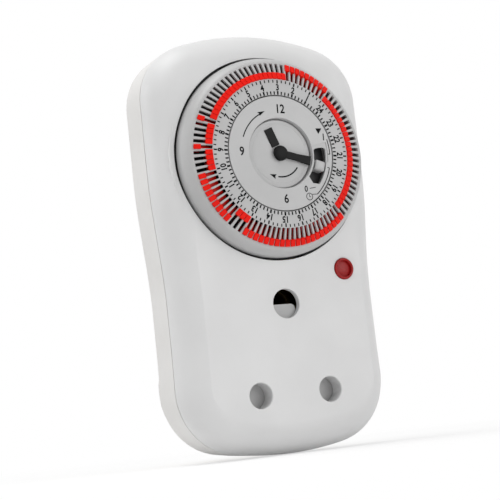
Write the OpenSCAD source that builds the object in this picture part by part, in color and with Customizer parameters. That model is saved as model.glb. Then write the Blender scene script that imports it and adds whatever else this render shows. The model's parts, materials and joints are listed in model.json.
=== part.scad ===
// Plug-in day timer: a clock-driven dial with captive tappets above a three-pin socket,
// with three plug pins on the back. Units are millimetres.
// The origin is on the wall face, midway between the live and neutral pins.
// +Y points to the wall, +Z is up and +X is to the right, seen from the front.

/* [Case] */
// Width of the case at the seam
body_w = 78.5; // [77.5:0.5:80]
// Top of the case above the live and neutral pins
body_top = 120; // [119:0.5:125]
// Bottom of the case below the live and neutral pins
body_bottom = 19; // [18.5:0.5:23]
// From the wall face to the flat front
body_depth = 34; // [34:0.25:36]
// Thickness of the moulded walls
wall = 2; // [1.8:0.1:2.2]
// Radius of the soft edge round the front
edge_r = 9.8; // [9.2:0.2:10]
// Height of the plug base behind the rear shell
base_h = 8; // [7.75:0.25:8.25]

/* [Plug and socket] */
// Distance between the live and neutral pins
pin_spacing = 25.4; // [25.4:0.05:25.6]
// Height of the earth pin above the live and neutral pins
earth_height = 28.6; // [28.5:0.05:28.7]
// Diameter of the live and neutral pins
power_pin_d = 7.05; // [6.95:0.01:7.1]
// Diameter of the earth pin
earth_pin_d = 8.7; // [8.6:0.01:8.75]
// Length of the live and neutral pins
power_pin_len = 18.6; // [18.2:0.1:18.8]
// Length of the earth pin
earth_pin_len = 28.6; // [28.3:0.1:28.8]
// Diameter of the live and neutral holes
power_hole_d = 8.12; // [8:0.02:8.3]
// Diameter of the earth hole
earth_hole_d = 9.52; // [9.4:0.02:9.7]

/* [Dial] */
// Height of the dial's axis above the live and neutral pins
dial_z = 76.5; // [76:0.1:77.5]
// Radius of the dial's rim
dial_r = 33; // [32.8:0.05:33.1]
// How far the dial stands in front of the case
dial_rise = 8; // [7.8:0.05:8.2]
// How far the slotted cone drops towards the rim
cone_drop = 2.05; // [1.9:0.05:2.2]
// Radius of the fixed clock face
face_r = 18.95; // [18.8:0.05:19]
// Travel of a tappet along its slot
tappet_travel = 3.7; // [3.5:0.05:3.7]

/* [Hidden] */

// Colours
light_grey = [0.84, 0.85, 0.85];
shell_grey = [0.80, 0.81, 0.79];
signal_red = [0.85, 0.08, 0.05];
jet = [0.05, 0.05, 0.05];
brass = [0.80, 0.66, 0.36];
steel = [0.70, 0.71, 0.73];
acetal = [0.92, 0.91, 0.86];

// Planes from the front to the wall
front_y = -body_depth;
seam_y = front_y + 11.4;
shell_y = -base_h;
inner_y = front_y + wall;

// Case outline: two corner radii and two flat arches
top_corner_r = 20;
bottom_corner_r = 22;
top_arch_r = 86;
bottom_arch_r = 118;
corner_steps = 10;
arch_steps = 12;
crown = corner_steps + arch_steps / 2;
front_draft = tan(1);
rear_draft = tan(1.5);
rear_edge_r = 3;
seam_gap = 0.3;
lip_depth = 2;
lip_wall = 1.2;

// Waist: the sides draw in below the dial, and the flat front ends there in a crease
waist_top = dial_z - 2.5;
waist_run = 44;
waist_in = 2.3;
foot_top = 18;
foot_run = 26;
foot_out = 0.4;
side_heights = concat([for (i = [0:8]) waist_top - waist_run * i / 8],
    [for (i = [0:2]) foot_top - 0.2 * foot_run * i]);
crease_span = [-14, 66];
crease_runs = [14, 26];
crease_r = 1.8;
crease_c = 1.2;

// Sockets
power_hole_r = power_hole_d / 2;
earth_hole_r = earth_hole_d / 2;
collar_wall = 1.5;
collar_y = front_y + 5.7;
power_x = pin_spacing / 2;

// Contacts, pins and straps
power_pin_r = power_pin_d / 2;
earth_pin_r = earth_pin_d / 2;
grip = 0.07;
sleeve_wall = 0.8;
sleeve_y = front_y + 7.8;
sleeve_gap_w = 1.2;
base_floor = 2.2;
flange_h = 2;
flange_y = -base_floor - flange_h;
contact_base_h = 0.8;
power_contact_y = front_y + power_pin_len + 1.2;
earth_contact_y = flange_y - contact_base_h;
strap_h = 0.8;
strap_w = 5;
tail_r = 2.5;
tail_y = shell_y - wall - 1.5;

// Plug base: outline round the pins, with a radius for each corner
base_points = [[32.9, -13.1], [32.9, 9.5], [20, 24], [16, 43],
    [-16, 43], [-20, 24], [-32.9, 9.5], [-32.9, -13.1]];
base_radii = [17, 7, 8, 8, 8, 8, 7, 17];
base_edge = 0.8;
pin_collar = 0.5;

// Lamp
lamp_pos = [body_w / 2 - 16.25, 38.8];
lead_y = inner_y + 12.6;
lamp_r = 3.54;
lamp_flange_r = 4.5;
bulb_r = 1.9;

// Screws and bosses
screw_top = [body_w / 2 - 22.5, body_top - 8.2];
screw_low = [body_w / 2 - 15.25, 13 - body_bottom];
screw_spots = [[-screw_top[0], screw_top[1]], screw_top, [-screw_low[0], screw_low[1]], screw_low];
boss_r = 3.2;
screw_r = 1.5;
screw_head_r = 2.8;
counterbore_r = 3.1;
counterbore_h = 4;
mech_spots = [[-28, dial_z + 26.5], [28, dial_z + 26.5], [-20, dial_z - 34.5]];
mech_boss_r = 2.8;
mech_screw_r = 1.1;

// Dial stack, counted from the dial's front
dial_y = front_y - dial_rise;
plate_t = 1;
ribs_y = dial_y + 4.4;
well_r = face_r + 0.15;
well_wall = 1.1;
web_y = dial_y + 5.8;
hub_y = dial_y + 7.4;
hub_r = 6;
rim_back_y = front_y + 1.4;
pocket_r = dial_r + 0.9;
pocket_y = front_y + 5;
cone_in = 24.5;
cone_out = 30.5;
cone_angle = atan2(cone_drop, cone_out - cone_in);
cone_len = norm([cone_out - cone_in, cone_drop]);
slot_w = 1.1;
rib_in = cone_in - 0.2;
slot_end = 0.1;

// Tappets
tappet_count = 96;
tappet_step = 360 / tappet_count;
midnight = 48.3;
head_len = 2.3;
head_w = 1.52;
head_h = 0.55;
blade_w = 0.98;
blade_h = 4.7;
foot_w = 1.3;
foot_h = 0.9;
tail_len = 3.2;
tail_top = [1.25, 2.4];
tail_bottom = [2.4, 3.2];
own_first = 28;
own_count = 12;

// Centre stack
recess_r = 11.6;
recess_wall = 0.5;
floor_y = dial_y + 2.6;
floor_t = 0.8;
knob_r = 14.5;
knob_at = 107.8;
knob_y = dial_y + 3.7;
knob_arm_t = 0.8;
knob_swing = 16;
knob_half = [1.7, 1.65];
window_in = 12.2;
window_out = 16.7;
window_half = 25;
disc_y = dial_y + 1.5;
disc_r = recess_r - 0.35;
disc_t = 0.8;
minute_at = 104.5;
hour_at = -22;
hour_hand_w = 3;
minute_hub_r = 2.5;
bush_in = 2.05;
bush_out = 3;
sleeve_in = 3.05;
sleeve_out = 4;
tube_r = 2;
arbor_r = 1;
fit = 0.05;

// Mechanism planes
plate_y = front_y + 3;
frame_t = 1.2;
back_y = plate_y + 8.2;
hour_wheel_y = plate_y + 1.5;
minute_wheel_y = plate_y + 2.8;
frame_r = 33.3;
back_r = 30;
pillar_r = 2.2;
pillar_ring = 27;
pillar_at = [20, 175, 300];

// Gears: teeth, module and the shared centre distance
centre = 12;
lay_at = 235;
dial_teeth = 64;
lay_dial_teeth = 8;
hour_teeth = 40;
lay_hour_teeth = 10;
minute_teeth = 12;
lay_minute_teeth = 36;
motor_teeth = 12;
motor_turn = 205;
gear_t = 1;
pressure = 20;
addendum = 0.85;
dedendum = 1.15;
tooth_slack = 0.14;
lay_r = 0.8;
lay_pos = centre * heading(lay_at);
motor_pos = lay_pos + centre * heading(motor_turn);
motor_r = 12;
motor_len = 11;
motor_shaft_r = 0.9;

// Switch and follower
switch_x = [8.3, 18.5];
switch_z = [-31.9, -12.1];
switch_h = 6.4;
supply_end = dial_z + switch_z[0];
strap_bend = [14.7, 30];
strap_top = [16, supply_end + 2.6];
lead_r = 0.24;
lever_ring = 28.5;
lever_at = 128;
nose_ring = 30.2;
nose_at = 86;
nose_in = [26.24, 3.21];
nose_r = 0.9;
lever_y = plate_y + 1.5;
lever_t = 1.2;
lever_pos = lever_ring * heading(lever_at);
nose_pos = nose_ring * heading(nose_at);
tail_pos = lever_pos + [-1.5, -8.5];
tail_w = 2.4;
lever_deep = 3.5;
plunger_r = 0.9;

// Shutter
shutter_pivot = [-12, earth_height];
shutter_y = collar_y + 0.2;
shutter_t = 1.6;
flag_r = power_hole_r + 0.45;
pivot_r = 1.4;
coil_wire = 0.3;

// ---------- functions ----------
function heading(a) = [sin(a), cos(a)];
function arc(c, r, a0, a1, n) =
    [for (i = [0:n]) let (a = a0 + (a1 - a0) * i / n) [c[0] + r * cos(a), c[1] + r * sin(a)]];
function ease(t) = let (u = max(0, min(1, t))) u * u * (3 - 2 * u);
function inner(list) = [for (i = [1:len(list) - 2]) list[i]];
function unit(v) = v / norm(v);
// The right side of the supply strap at a height
function strap_side(z) =
    let (run = strap_top - strap_bend)
    strap_bend[0] + run[0] / run[1] * (z - strap_bend[1]) + (strap_w - 0.6) / 2 * norm(run) / run[1] + 0.01;

// The case outline, inset by d, anticlockwise from the right side
function case_outline(d) =
    let (w = body_w / 2 - d, top = body_top - d, bottom = -body_bottom + d,
         rt = top_corner_r - d, rb = bottom_corner_r - d, at = top_arch_r - d, ab = bottom_arch_r - d,
         tx = w - rt, th = sqrt((at - rt) ^ 2 - tx ^ 2), ta = atan2(th, tx),
         bx = w - rb, bh = sqrt((ab - rb) ^ 2 - bx ^ 2), ba = atan2(bh, bx))
    concat(
        arc([tx, top - at + th], rt, 0, ta, corner_steps),
        inner(arc([0, top - at], at, ta, 180 - ta, arch_steps)),
        arc([-tx, top - at + th], rt, 180 - ta, 180, corner_steps),
        [for (z = side_heights) [-w, z]],
        arc([-bx, bottom + ab - bh], rb, 180, 180 + ba, corner_steps),
        inner(arc([0, bottom + ab], ab, 180 + ba, 360 - ba, arch_steps)),
        arc([bx, bottom + ab - bh], rb, 360 - ba, 360, corner_steps),
        [for (i = [1:len(side_heights)]) [w, side_heights[len(side_heights) - i]]]
    );
// The share of its full width that the case has at a height, and how much of the crease there is
function narrow(z) =
    1 - (waist_in * ease((waist_top - z) / waist_run) - foot_out * ease((foot_top - z) / foot_run)) * 2 / body_w;
function crease(z) =
    ease((crease_span[1] - z) / crease_runs[1]) * ease((z - crease_span[0]) / crease_runs[0]);

// A corner of a rounded outline
function corner(a, p, b, r, n) =
    let (u = unit(a - p), v = unit(b - p), half = acos(u * v) / 2, t = r / tan(half),
         c = p + unit(u + v) * r / sin(half), s = p + u * t - c, e = p + v * t - c,
         a0 = atan2(s[1], s[0]), turn = atan2(s[0] * e[1] - s[1] * e[0], s * e))
    arc(c, r, a0, a0 + turn, n);
function rounded(points, radii, n = 6) =
    let (k = len(points))
    [for (i = [0:k - 1]) each corner(points[(i + k - 1) % k], points[i], points[(i + 1) % k], radii[i], n)];

// Involute gear outline
function roll(rb, r) = let (a = acos(min(1, rb / r))) tan(a) * 180 / PI - a;
function tooth_half(m, z, r) =
    let (rp = m * z / 2, rb = rp * cos(pressure))
    90 / z * (1 - tooth_slack) + roll(rb, rp) - roll(rb, max(r, rb));
function gear_outline(m, z, at) =
    let (rp = m * z / 2, rb = rp * cos(pressure), root = rp - dedendum * m, tip = rp + addendum * m,
         steps = [root, max(root, rb) + 0.02 * m, (rp + tip) / 2 - 0.3 * m, rp + 0.35 * m, tip])
    [for (i = [0:z - 1]) let (c = at + 360 * i / z)
        each concat([for (r = steps) let (a = c - tooth_half(m, z, r)) r * [cos(a), sin(a)]],
                    [for (k = [4:-1:0]) let (r = steps[k], a = c + tooth_half(m, z, r))
                        r * [cos(a), sin(a)]])];

function on_at(k) =
    let (h = (k + 0.5) / 4)
    (h > 0.25 && h < 2.5) || k == 30 || k == 35 || (h > 10 && h < 12.25) || (h > 13 && h < 18.25);
function own(k) = k >= own_first && k < own_first + own_count;
function tappet_heading(k) = midnight - 15 * (k + 0.5) / 4;

// ---------- helpers ----------
// A flat piece drawn in the X-Z plane, from y0 to y1
module slab(y0, y1) {
    translate([0, y1, 0])
        rotate([90, 0, 0])
            linear_extrude(y1 - y0)
                children();
}
// A turned piece about the Y axis from [radius, y] points
module turned(profile, at = [0, 0]) {
    translate([at[0], 0, at[1]])
        rotate([-90, 0, 0])
            rotate_extrude($fn = 96)
                polygon(profile);
}
// A round bar along Y
module rod(r, y0, y1, at = [0, 0]) {
    translate([at[0], y0, at[1]])
        rotate([-90, 0, 0])
            cylinder(r = r, h = y1 - y0, $fn = 64);
}
module block(x, y, z) {
    translate([x[0], y[0], z[0]])
        cube([x[1] - x[0], y[1] - y[0], z[1] - z[0]]);
}
module on_dial() {
    translate([0, 0, dial_z])
        children();
}
module spot(p) {
    translate(p)
        children();
}
// A flat bar between two points, with round ends
module bar(p, q, w) {
    d = q - p;
    a = atan2(d[1], d[0]);
    polygon(concat(arc(p, w / 2, a + 90, a + 270, 12), arc(q, w / 2, a - 90, a + 90, 12)));
}
// Close-wound coil about the Y axis with two straight legs
module coil(at, r, wire, y0, turns, legs, reach = 6) {
    for (i = [0:turns - 1])
        translate([at[0], y0 + wire * (2 * i + 1), at[1]])
            rotate([-90, 0, 0])
                rotate_extrude($fn = 48)
                    translate([r, 0]) circle(r = wire * 1.02, $fn = 16);
    for (i = [0, 1])
        translate([at[0], y0 + wire * (i == 0 ? 1 : 2 * turns - 1), at[1]])
            rotate([0, -legs[i], 0])
                translate([0, 0, r])
                    rotate([0, 90, 0])
                        cylinder(r = wire, h = reach, $fn = 16);
}
// Triangles that fill the case outline, in steps across it from its top down
function filled(n) = [
    for (k = [0:n / 2 - 1])
        let (r = (crown - k + n) % n, l = (crown + k) % n, below = (r - 1 + n) % n)
        each concat(k > 0 ? [[r, below, l]] : [], k < n / 2 - 1 ? [[l, below, (l + 1) % n]] : [])
];
// A solid through case outlines, as [y, inset, extra inset at the crease] from front to back
module loft(rings) {
    edge = case_outline(0);
    inward = case_outline(1) - edge;
    n = len(edge);
    last = len(rings) - 1;
    points = [for (g = rings, i = [0:n - 1])
        let (p = edge[i] + inward[i] * (g[1] + g[2] * crease(edge[i][1])))
        [p[0] * narrow(p[1]), g[0], p[1]]];
    cap = filled(n);
    sides = [for (k = [0:last - 1], i = [0:n - 1])
        let (a = k * n + i, b = k * n + (i + 1) % n)
        each [[a, b, b + n], [a, b + n, a + n]]];
    polyhedron(points = points, faces = concat(
        cap,
        sides,
        [for (t = cap) [t[2], t[1], t[0]] + last * n * [1, 1, 1]]
    ));
}
// Inset of the soft front edge at a depth. At the crease its arc is larger and its centre deeper.
function edge_inset(y, d, s) =
    let (r = edge_r + crease_r * s - d, c = edge_r + crease_c * s - d, t = max(0, front_y + d + c - y))
    d + r - sqrt(r ^ 2 - min(t, c) ^ 2);
function front_rings(d, stop) =
    concat(
        [for (a = [0:15:90])
            let (y = front_y + d + (edge_r - d) * (1 - cos(a)), soft = edge_inset(y, d, 0))
            [y, soft + (seam_y - y) * front_draft, edge_inset(y, d, 1) - soft]],
        [[stop, d, 0]]
    );
function rear_rings(d, start) =
    let (r = rear_edge_r - (d > 0 ? 1 : 0), end = shell_y - d)
    concat(
        [[start, d, 0]],
        [for (a = [0:22.5:90]) let (y = end - r * (1 - sin(a)))
            [y, d + r * (1 - cos(a)) + (y - seam_y) * rear_draft, 0]]
    );

// ---------- case ----------
module front_boss_shapes() {
    for (p = screw_spots)
        rod(boss_r, inner_y - 1, seam_y, p);
    for (p = mech_spots)
        rod(mech_boss_r, inner_y - 1, back_y, p);
    rod(2.8, inner_y - 1, shutter_y - 0.2, shutter_pivot);
    for (x = [-power_x, power_x])
        rod(power_hole_r + collar_wall, inner_y - 1, collar_y, [x, 0]);
    difference() {
        rod(lamp_flange_r + 1.4, inner_y - 1, inner_y + 2.4, lamp_pos);
        rod(lamp_flange_r, inner_y, inner_y + 3, lamp_pos);
    }
}
module front_housing() {
    color(light_grey) {
        difference() {
            union() {
                difference() {
                    loft(front_rings(0, seam_y - seam_gap / 2));
                    loft(front_rings(wall, seam_y + 1));
                }
                intersection() {
                    loft(front_rings(0.5, seam_y + 1));
                    front_boss_shapes();
                }
            }
            on_dial() rod(pocket_r, front_y - 1, pocket_y);
            for (x = [-power_x, power_x])
                rod(power_hole_r, front_y - 1, collar_y + 1, [x, 0]);
            rod(earth_hole_r, front_y - 1, inner_y + 1, [0, earth_height]);
            rod(lamp_r + 0.06, front_y - 1, inner_y + 1, lamp_pos);
            for (p = screw_spots)
                rod(screw_r, seam_y - 7, seam_y + 1, p);
            for (p = mech_spots)
                rod(mech_screw_r, back_y - 6, back_y + 1, p);
        }
        rod(pivot_r, shutter_y - 0.5, shutter_y + shutter_t + 2.2, shutter_pivot);
    }
}
// The plug base outline, drawn in by d
module offset_base(d) {
    mid = [0, 12];
    polygon([for (p = rounded(base_points, base_radii)) let (v = p - mid) mid + v * (1 - d / norm(v))]);
}
module rear_housing() {
    color(shell_grey) {
        difference() {
            union() {
                loft(rear_rings(0, seam_y + seam_gap / 2));
                loft([[seam_y - lip_depth, wall + 0.1, 0], [seam_y + 1, wall + 0.1, 0]]);
                slab(shell_y - 1, -base_edge) polygon(rounded(base_points, base_radii));
                slab(-base_edge, 0) offset_base(base_edge);
            }
            difference() {
                union() {
                    loft([[seam_y - lip_depth - 1, wall + lip_wall, 0], [seam_y + 1.5, wall + lip_wall, 0]]);
                    loft(concat([[seam_y + 1.2, wall + lip_wall + 0.1, 0]], rear_rings(wall, seam_y + 3)));
                    slab(shell_y - wall - 1, -base_floor) offset_base(wall);
                }
                for (p = screw_spots)
                    rod(boss_r, seam_y, 0, p);
            }
            for (p = screw_spots) {
                rod(screw_r + 0.2, seam_y - 1, 0, p);
                rod(counterbore_r, (p[1] < 20 ? 0 : shell_y) - counterbore_h, 1, p);
            }
            for (x = [-power_x, power_x])
                rod(power_pin_r + pin_collar, -base_floor - 1, 1, [x, 0]);
            rod(earth_pin_r + pin_collar, -base_floor - 1, 1, [0, earth_height]);
        }
    }
}
module case_screw(k) {
    p = screw_spots[k];
    seat = (p[1] < 20 ? 0 : shell_y) - counterbore_h;
    color(steel)
        difference() {
            turned([[0, seam_y - 6.5], [screw_r, seam_y - 5.5], [screw_r, seat],
                [screw_head_r, seat], [screw_head_r, seat + 1.2], [1.8, seat + 2], [0, seat + 2]], p);
            for (a = [0, 90])
                translate([p[0], seat + 1.9, p[1]]) rotate([0, a, 0]) cube([3, 2, 0.6], center = true);
        }
}

// ---------- lamp ----------
module lamp_lens() {
    color([0.75, 0.05, 0.05, 0.9])
        turned([[bulb_r, inner_y - 0.4], [lamp_r - 1, inner_y - 1.4], [lamp_r - 1, front_y - 0.3],
            [lamp_r - 0.75, front_y - 0.6], [lamp_r - 0.35, front_y - 0.6], [lamp_r, front_y - 0.2],
            [lamp_r, inner_y], [lamp_flange_r, inner_y], [lamp_flange_r, inner_y + 1],
            [bulb_r + 0.9, inner_y + 1], [bulb_r + 0.9, inner_y + 3], [bulb_r, inner_y + 3]], lamp_pos);
    color([0.75, 0.05, 0.05, 0.9])
        turned([[0, front_y + 0.1], [lamp_r - 0.9, front_y + 0.35], [lamp_r - 0.9, front_y + 0.9],
            [0, front_y + 0.65]], lamp_pos);
}
module neon_bulb() {
    color([1, 0.6, 0.4])
        turned([[0, inner_y + 0.2], [1.2, inner_y + 0.5], [bulb_r, inner_y + 1.4], [bulb_r, inner_y + 9],
            [1.4, inner_y + 10], [0, inner_y + 10]], lamp_pos);
    color(steel)
        for (s = [-1, 1])
            rod(0.3, inner_y + 9.5, lead_y, lamp_pos + [0.9 * s, 0]);
}
module neon_resistor() {
    color(acetal) {
        rod(1.1, lead_y + 0.2, lead_y + 6, lamp_pos - [0.9, 0]);
    }
    color(steel) {
        rod(0.3, lead_y, lead_y + 0.3, lamp_pos - [0.9, 0]);
        rod(0.3, lead_y + 5.9, tail_y + strap_h / 2 + 0.4, lamp_pos - [0.9, 0]);
        translate([strap_side(lamp_pos[1] + lead_r), tail_y + strap_h / 2, lamp_pos[1]])
            rotate([0, 90, 0])
                cylinder(r = lead_r, h = lamp_pos[0] - 0.95 - strap_side(lamp_pos[1] + lead_r), $fn = 24);
    }
}

// ---------- contacts, pins and straps ----------
// A slotted socket tube with a solid end
module contact(p, r, end_y, slots) {
    color(brass)
        difference() {
            turned([[0, end_y], [r, end_y], [r, sleeve_y + 0.6], [r + 0.35, sleeve_y],
                [r + sleeve_wall, sleeve_y], [r + sleeve_wall, end_y + contact_base_h],
                [0, end_y + contact_base_h]], p);
            for (a = slots)
                translate([p[0], sleeve_y - 1, p[1]])
                    rotate([0, a, 0])
                        translate([-sleeve_gap_w / 2, 0, -r - 3])
                            cube([sleeve_gap_w, end_y - sleeve_y - 2, 2 * r + 6]);
        }
}
module plug_pin(p, r, len, tail) {
    color(brass)
        turned([[0, tail], [tail_r, tail], [tail_r, flange_y], [r + 1.8, flange_y],
            [r + 1.8, -base_floor], [r + pin_collar, -base_floor], [r + pin_collar, 0], [r, 0],
            [r, len - 1.4], [r - 0.35, len - 0.5],
            [r - 1.2, len], [0, len]], p);
}
module earth_pin() {
    p = [0, earth_height];
    color(brass)
        turned([[0, flange_y], [earth_pin_r + 1.8, flange_y], [earth_pin_r + 1.8, -base_floor],
            [earth_pin_r + pin_collar, -base_floor], [earth_pin_r + pin_collar, 0], [earth_pin_r, 0],
            [earth_pin_r, earth_pin_len - 1.8],
            [earth_pin_r - 0.45, earth_pin_len - 0.7], [earth_pin_r - 1.5, earth_pin_len],
            [0, earth_pin_len]], p);
}
module supply_strap() {
    color(brass) {
        slab(tail_y, tail_y + strap_h)
            difference() {
                union() {
                    spot([power_x, 0]) circle(r = 4.2, $fn = 48);
                    bar([power_x, 0], strap_bend, strap_w);
                    bar(strap_bend, strap_top, strap_w - 0.6);
                }
                spot([power_x, 0]) circle(r = tail_r, $fn = 64);
            }
        block([14.2, 17.8], [plate_y + frame_t + switch_h, tail_y + 0.1],
            [supply_end + 2, supply_end + 3]);
    }
}
module switched_strap() {
    color(brass) {
        slab(power_contact_y + contact_base_h, power_contact_y + contact_base_h + strap_h) {
            spot([power_x, 0]) circle(r = 4.2, $fn = 48);
            bar([power_x, 0], [11.2, supply_end + 10], 4.4);
        }
        block([9.4, 13], [plate_y + frame_t + switch_h, power_contact_y + contact_base_h + 0.1],
            [supply_end + 9.4, supply_end + 10.4]);
    }
}
module neutral_strap() {
    y0 = power_contact_y + contact_base_h;
    bend = [-power_x - 12, 7];
    color(brass) {
        slab(y0, y0 + strap_h) {
            spot([-power_x, 0]) circle(r = 4.2, $fn = 48);
            bar([-power_x, 0], bend, 4.4);
        }
        slab(tail_y, tail_y + strap_h)
            difference() {
                union() {
                    spot([-power_x, 0]) circle(r = 4.2, $fn = 48);
                    bar([-power_x, 0], bend, 4.4);
                }
                spot([-power_x, 0]) circle(r = tail_r, $fn = 64);
            }
        slab(y0 + 0.1, tail_y + 0.1) spot(bend) square([strap_h, 4.2], center = true);
    }
}

// ---------- shutter ----------
module shutter() {
    color([0.62, 0.63, 0.64])
        difference() {
            union() {
                slab(shutter_y, shutter_y + shutter_t) {
                    spot(shutter_pivot) circle(r = 3, $fn = 48);
                    polygon([[-12, earth_height - 6], [4.2, earth_height - 6], [4.2, earth_height - 0.9],
                        [3.3, earth_height], [-12, earth_height]]);
                    bar([-12.2, earth_height - 3], [-power_x, 0], 6);
                    bar([0.8, earth_height - 5], [power_x, 0], 5);
                    spot([-power_x, 0]) circle(r = flag_r, $fn = 64);
                    spot([power_x, 0]) circle(r = flag_r, $fn = 64);
                }
                difference() {
                    slab(inner_y + 0.2, shutter_y + 0.1)
                        polygon(rounded([[-4.8, earth_height - 6], [4.2, earth_height - 6],
                            [4.2, earth_height], [-4.8, earth_height]], [0.3, 0.3, 1.6, 0.3]));
                    translate([-6, inner_y, earth_height - 2.4])
                        rotate([30, 0, 0])
                            translate([0, -3, 0]) cube([12, 3, 6]);
                }
            }
            rod(pivot_r + fit, shutter_y - 1, shutter_y + shutter_t + 1, shutter_pivot);
        }
}
module shutter_spring() {
    color(steel)
        coil(shutter_pivot, pivot_r + coil_wire + 0.02, coil_wire, shutter_y + shutter_t + 0.15, 3,
            [60, -150]);
}

// ---------- mechanism frame ----------
module front_plate() {
    color([0.12, 0.12, 0.13])
        on_dial() {
            slab(plate_y, plate_y + frame_t)
                difference() {
                    circle(r = frame_r, $fn = 120);
                    circle(r = bush_out, $fn = 64);
                    spot(lay_pos) circle(r = lay_r + fit, $fn = 48);
                    bar(nose_pos, nose_in, 2 * nose_r + 1);
                }
            rod(1.2, plate_y + frame_t - 0.1, plate_y + frame_t + 5.6, lever_pos);
        }
}
module back_plate() {
    color([0.12, 0.12, 0.13])
        slab(back_y, back_y + frame_t)
            difference() {
                union() {
                    spot([0, dial_z]) circle(r = back_r, $fn = 120);
                    for (p = mech_spots)
                        bar([p[0] * 0.6, dial_z + (p[1] - dial_z) * 0.6], p, 7);
                }
                for (p = mech_spots)
                    spot(p) circle(r = mech_screw_r, $fn = 48);
                spot([0, dial_z]) circle(r = arbor_r + fit, $fn = 48);
                spot(lay_pos + [0, dial_z]) circle(r = lay_r + fit, $fn = 48);
                spot(motor_pos + [0, dial_z]) circle(r = motor_shaft_r + 0.4, $fn = 48);
                spot([switch_x[0] - 0.5, dial_z + switch_z[0] - 0.5])
                    square([switch_x[1] - switch_x[0] + 1, switch_z[1] - switch_z[0] + 1]);
            }
}
module pillar(k) {
    color(steel)
        on_dial() rod(pillar_r, plate_y + frame_t, back_y, pillar_ring * heading(pillar_at[k]));
}
module mech_screws() {
    color(steel)
        for (p = mech_spots)
            turned([[0, back_y - 5], [mech_screw_r, back_y - 5], [mech_screw_r, back_y + frame_t],
                [2.2, back_y + frame_t], [2.2, back_y + frame_t + 0.8], [1.6, back_y + frame_t + 1.3],
                [0, back_y + frame_t + 1.3]], p);
}

// ---------- clock centre ----------
module center_bush() {
    color(brass)
        on_dial()
            turned([[bush_in, floor_y], [bush_out, floor_y], [bush_out, plate_y - 1.8], [6, plate_y - 1.8],
                [6, plate_y], [bush_out, plate_y], [bush_out, plate_y + frame_t],
                [bush_in, plate_y + frame_t]]);
}
module clock_face() {
    half = window_half;
    color(light_grey)
        on_dial()
            difference() {
                turned([[bush_out, floor_y], [recess_r, floor_y], [recess_r, dial_y + 0.2],
                    [recess_r + 0.2, dial_y], [face_r - 0.25, dial_y], [face_r, dial_y + 0.25],
                    [face_r, dial_y + 2], [face_r - 0.8, dial_y + 2], [face_r - 0.8, dial_y + plate_t],
                    [recess_r + recess_wall, dial_y + plate_t],
                    [recess_r + recess_wall, floor_y + floor_t], [bush_out, floor_y + floor_t]]);
                slab(dial_y - 1, dial_y + plate_t + 1)
                    rotate(90 - knob_at)
                        difference() {
                            polygon(concat(arc([0, 0], window_out, -half, half, 14),
                                arc([0, 0], window_in, half, -half, 14)));
                            polygon([[16.9, -5.2], [12, -7.2], [14, -9]]);
                        }
            }
}
module minute_arbor() {
    color(steel)
        on_dial() {
            rod(arbor_r, dial_y + 0.6, back_y + frame_t);
            slab(minute_wheel_y, minute_wheel_y + gear_t)
                polygon(gear_outline(0.5, minute_teeth, 270 - lay_at + 180 / minute_teeth));
        }
}
module minute_hand() {
    tip = 10.9;
    color(jet)
        on_dial() {
            turned([[0, dial_y - 0.4], [1.6, dial_y - 0.35], [minute_hub_r, dial_y + 0.1],
                [minute_hub_r, dial_y + 1],
                [arbor_r, dial_y + 1], [arbor_r, dial_y + 0.6], [0, dial_y + 0.6]]);
            slab(dial_y + 0.1, dial_y + 0.8)
                difference() {
                    rotate(90 - minute_at)
                        polygon([[0, -1.15], [6, -1.15], [tip, -1.5], [tip, 1.5], [6, 1.15], [0, 1.15]]);
                    circle(r = 1.6, $fn = 48);
                }
        }
}
module hour_wheel() {
    color(acetal)
        on_dial() {
            turned([[arbor_r + fit, disc_y + disc_t], [tube_r, disc_y + disc_t],
                [tube_r, hour_wheel_y + gear_t], [arbor_r + fit, hour_wheel_y + gear_t]]);
            slab(hour_wheel_y, hour_wheel_y + gear_t)
                difference() {
                    polygon(gear_outline(0.48, hour_teeth, 270 - lay_at + 180 / hour_teeth));
                    circle(r = tube_r - 0.3, $fn = 64);
                }
        }
}
module hour_disc() {
    color(light_grey)
        on_dial()
            turned([[arbor_r + 0.2, disc_y], [disc_r - 0.1, disc_y], [disc_r, disc_y + 0.1],
                [disc_r, disc_y + disc_t], [arbor_r + 0.2, disc_y + disc_t]]);
}
module hour_hand() {
    color(jet)
        on_dial()
            slab(disc_y - 0.3, disc_y)
                rotate(90 - hour_at) translate([2.7, -hour_hand_w / 2]) square([6.2, hour_hand_w]);
}

// ---------- gear train ----------
module layshaft() {
    to_dial = 270 - lay_at + 180;
    color(steel)
        on_dial() {
            rod(lay_r, web_y + 0.1, back_y + frame_t, lay_pos);
            slab(web_y + 0.1, web_y + 0.1 + gear_t)
                spot(lay_pos) polygon(gear_outline(1 / 3, lay_dial_teeth, to_dial));
            slab(hour_wheel_y, hour_wheel_y + gear_t + 0.4)
                spot(lay_pos) polygon(gear_outline(0.48, lay_hour_teeth, to_dial));
        }
    color(brass)
        on_dial()
            slab(minute_wheel_y, minute_wheel_y + gear_t)
                spot(lay_pos) polygon(gear_outline(0.5, lay_minute_teeth, to_dial));
}
module dial_gear() {
    color(acetal)
        on_dial()
            slab(web_y, web_y + 1.2)
                difference() {
                    polygon(gear_outline(1 / 3, dial_teeth, 270 - lay_at + 180 / dial_teeth));
                    circle(r = hub_r, $fn = 96);
                }
}
module motor_can() {
    y0 = back_y + frame_t;
    color(steel)
        on_dial()
            difference() {
                turned([[0, y0], [motor_r, y0], [motor_r, y0 + 0.8], [motor_r - 0.6, y0 + 1.2],
                    [motor_r - 0.6, y0 + motor_len - 1], [motor_r - 1.6, y0 + motor_len],
                    [0, y0 + motor_len]], motor_pos);
                rod(motor_shaft_r + fit, y0 - 1, y0 + 2.4, motor_pos);
            }
}
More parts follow.
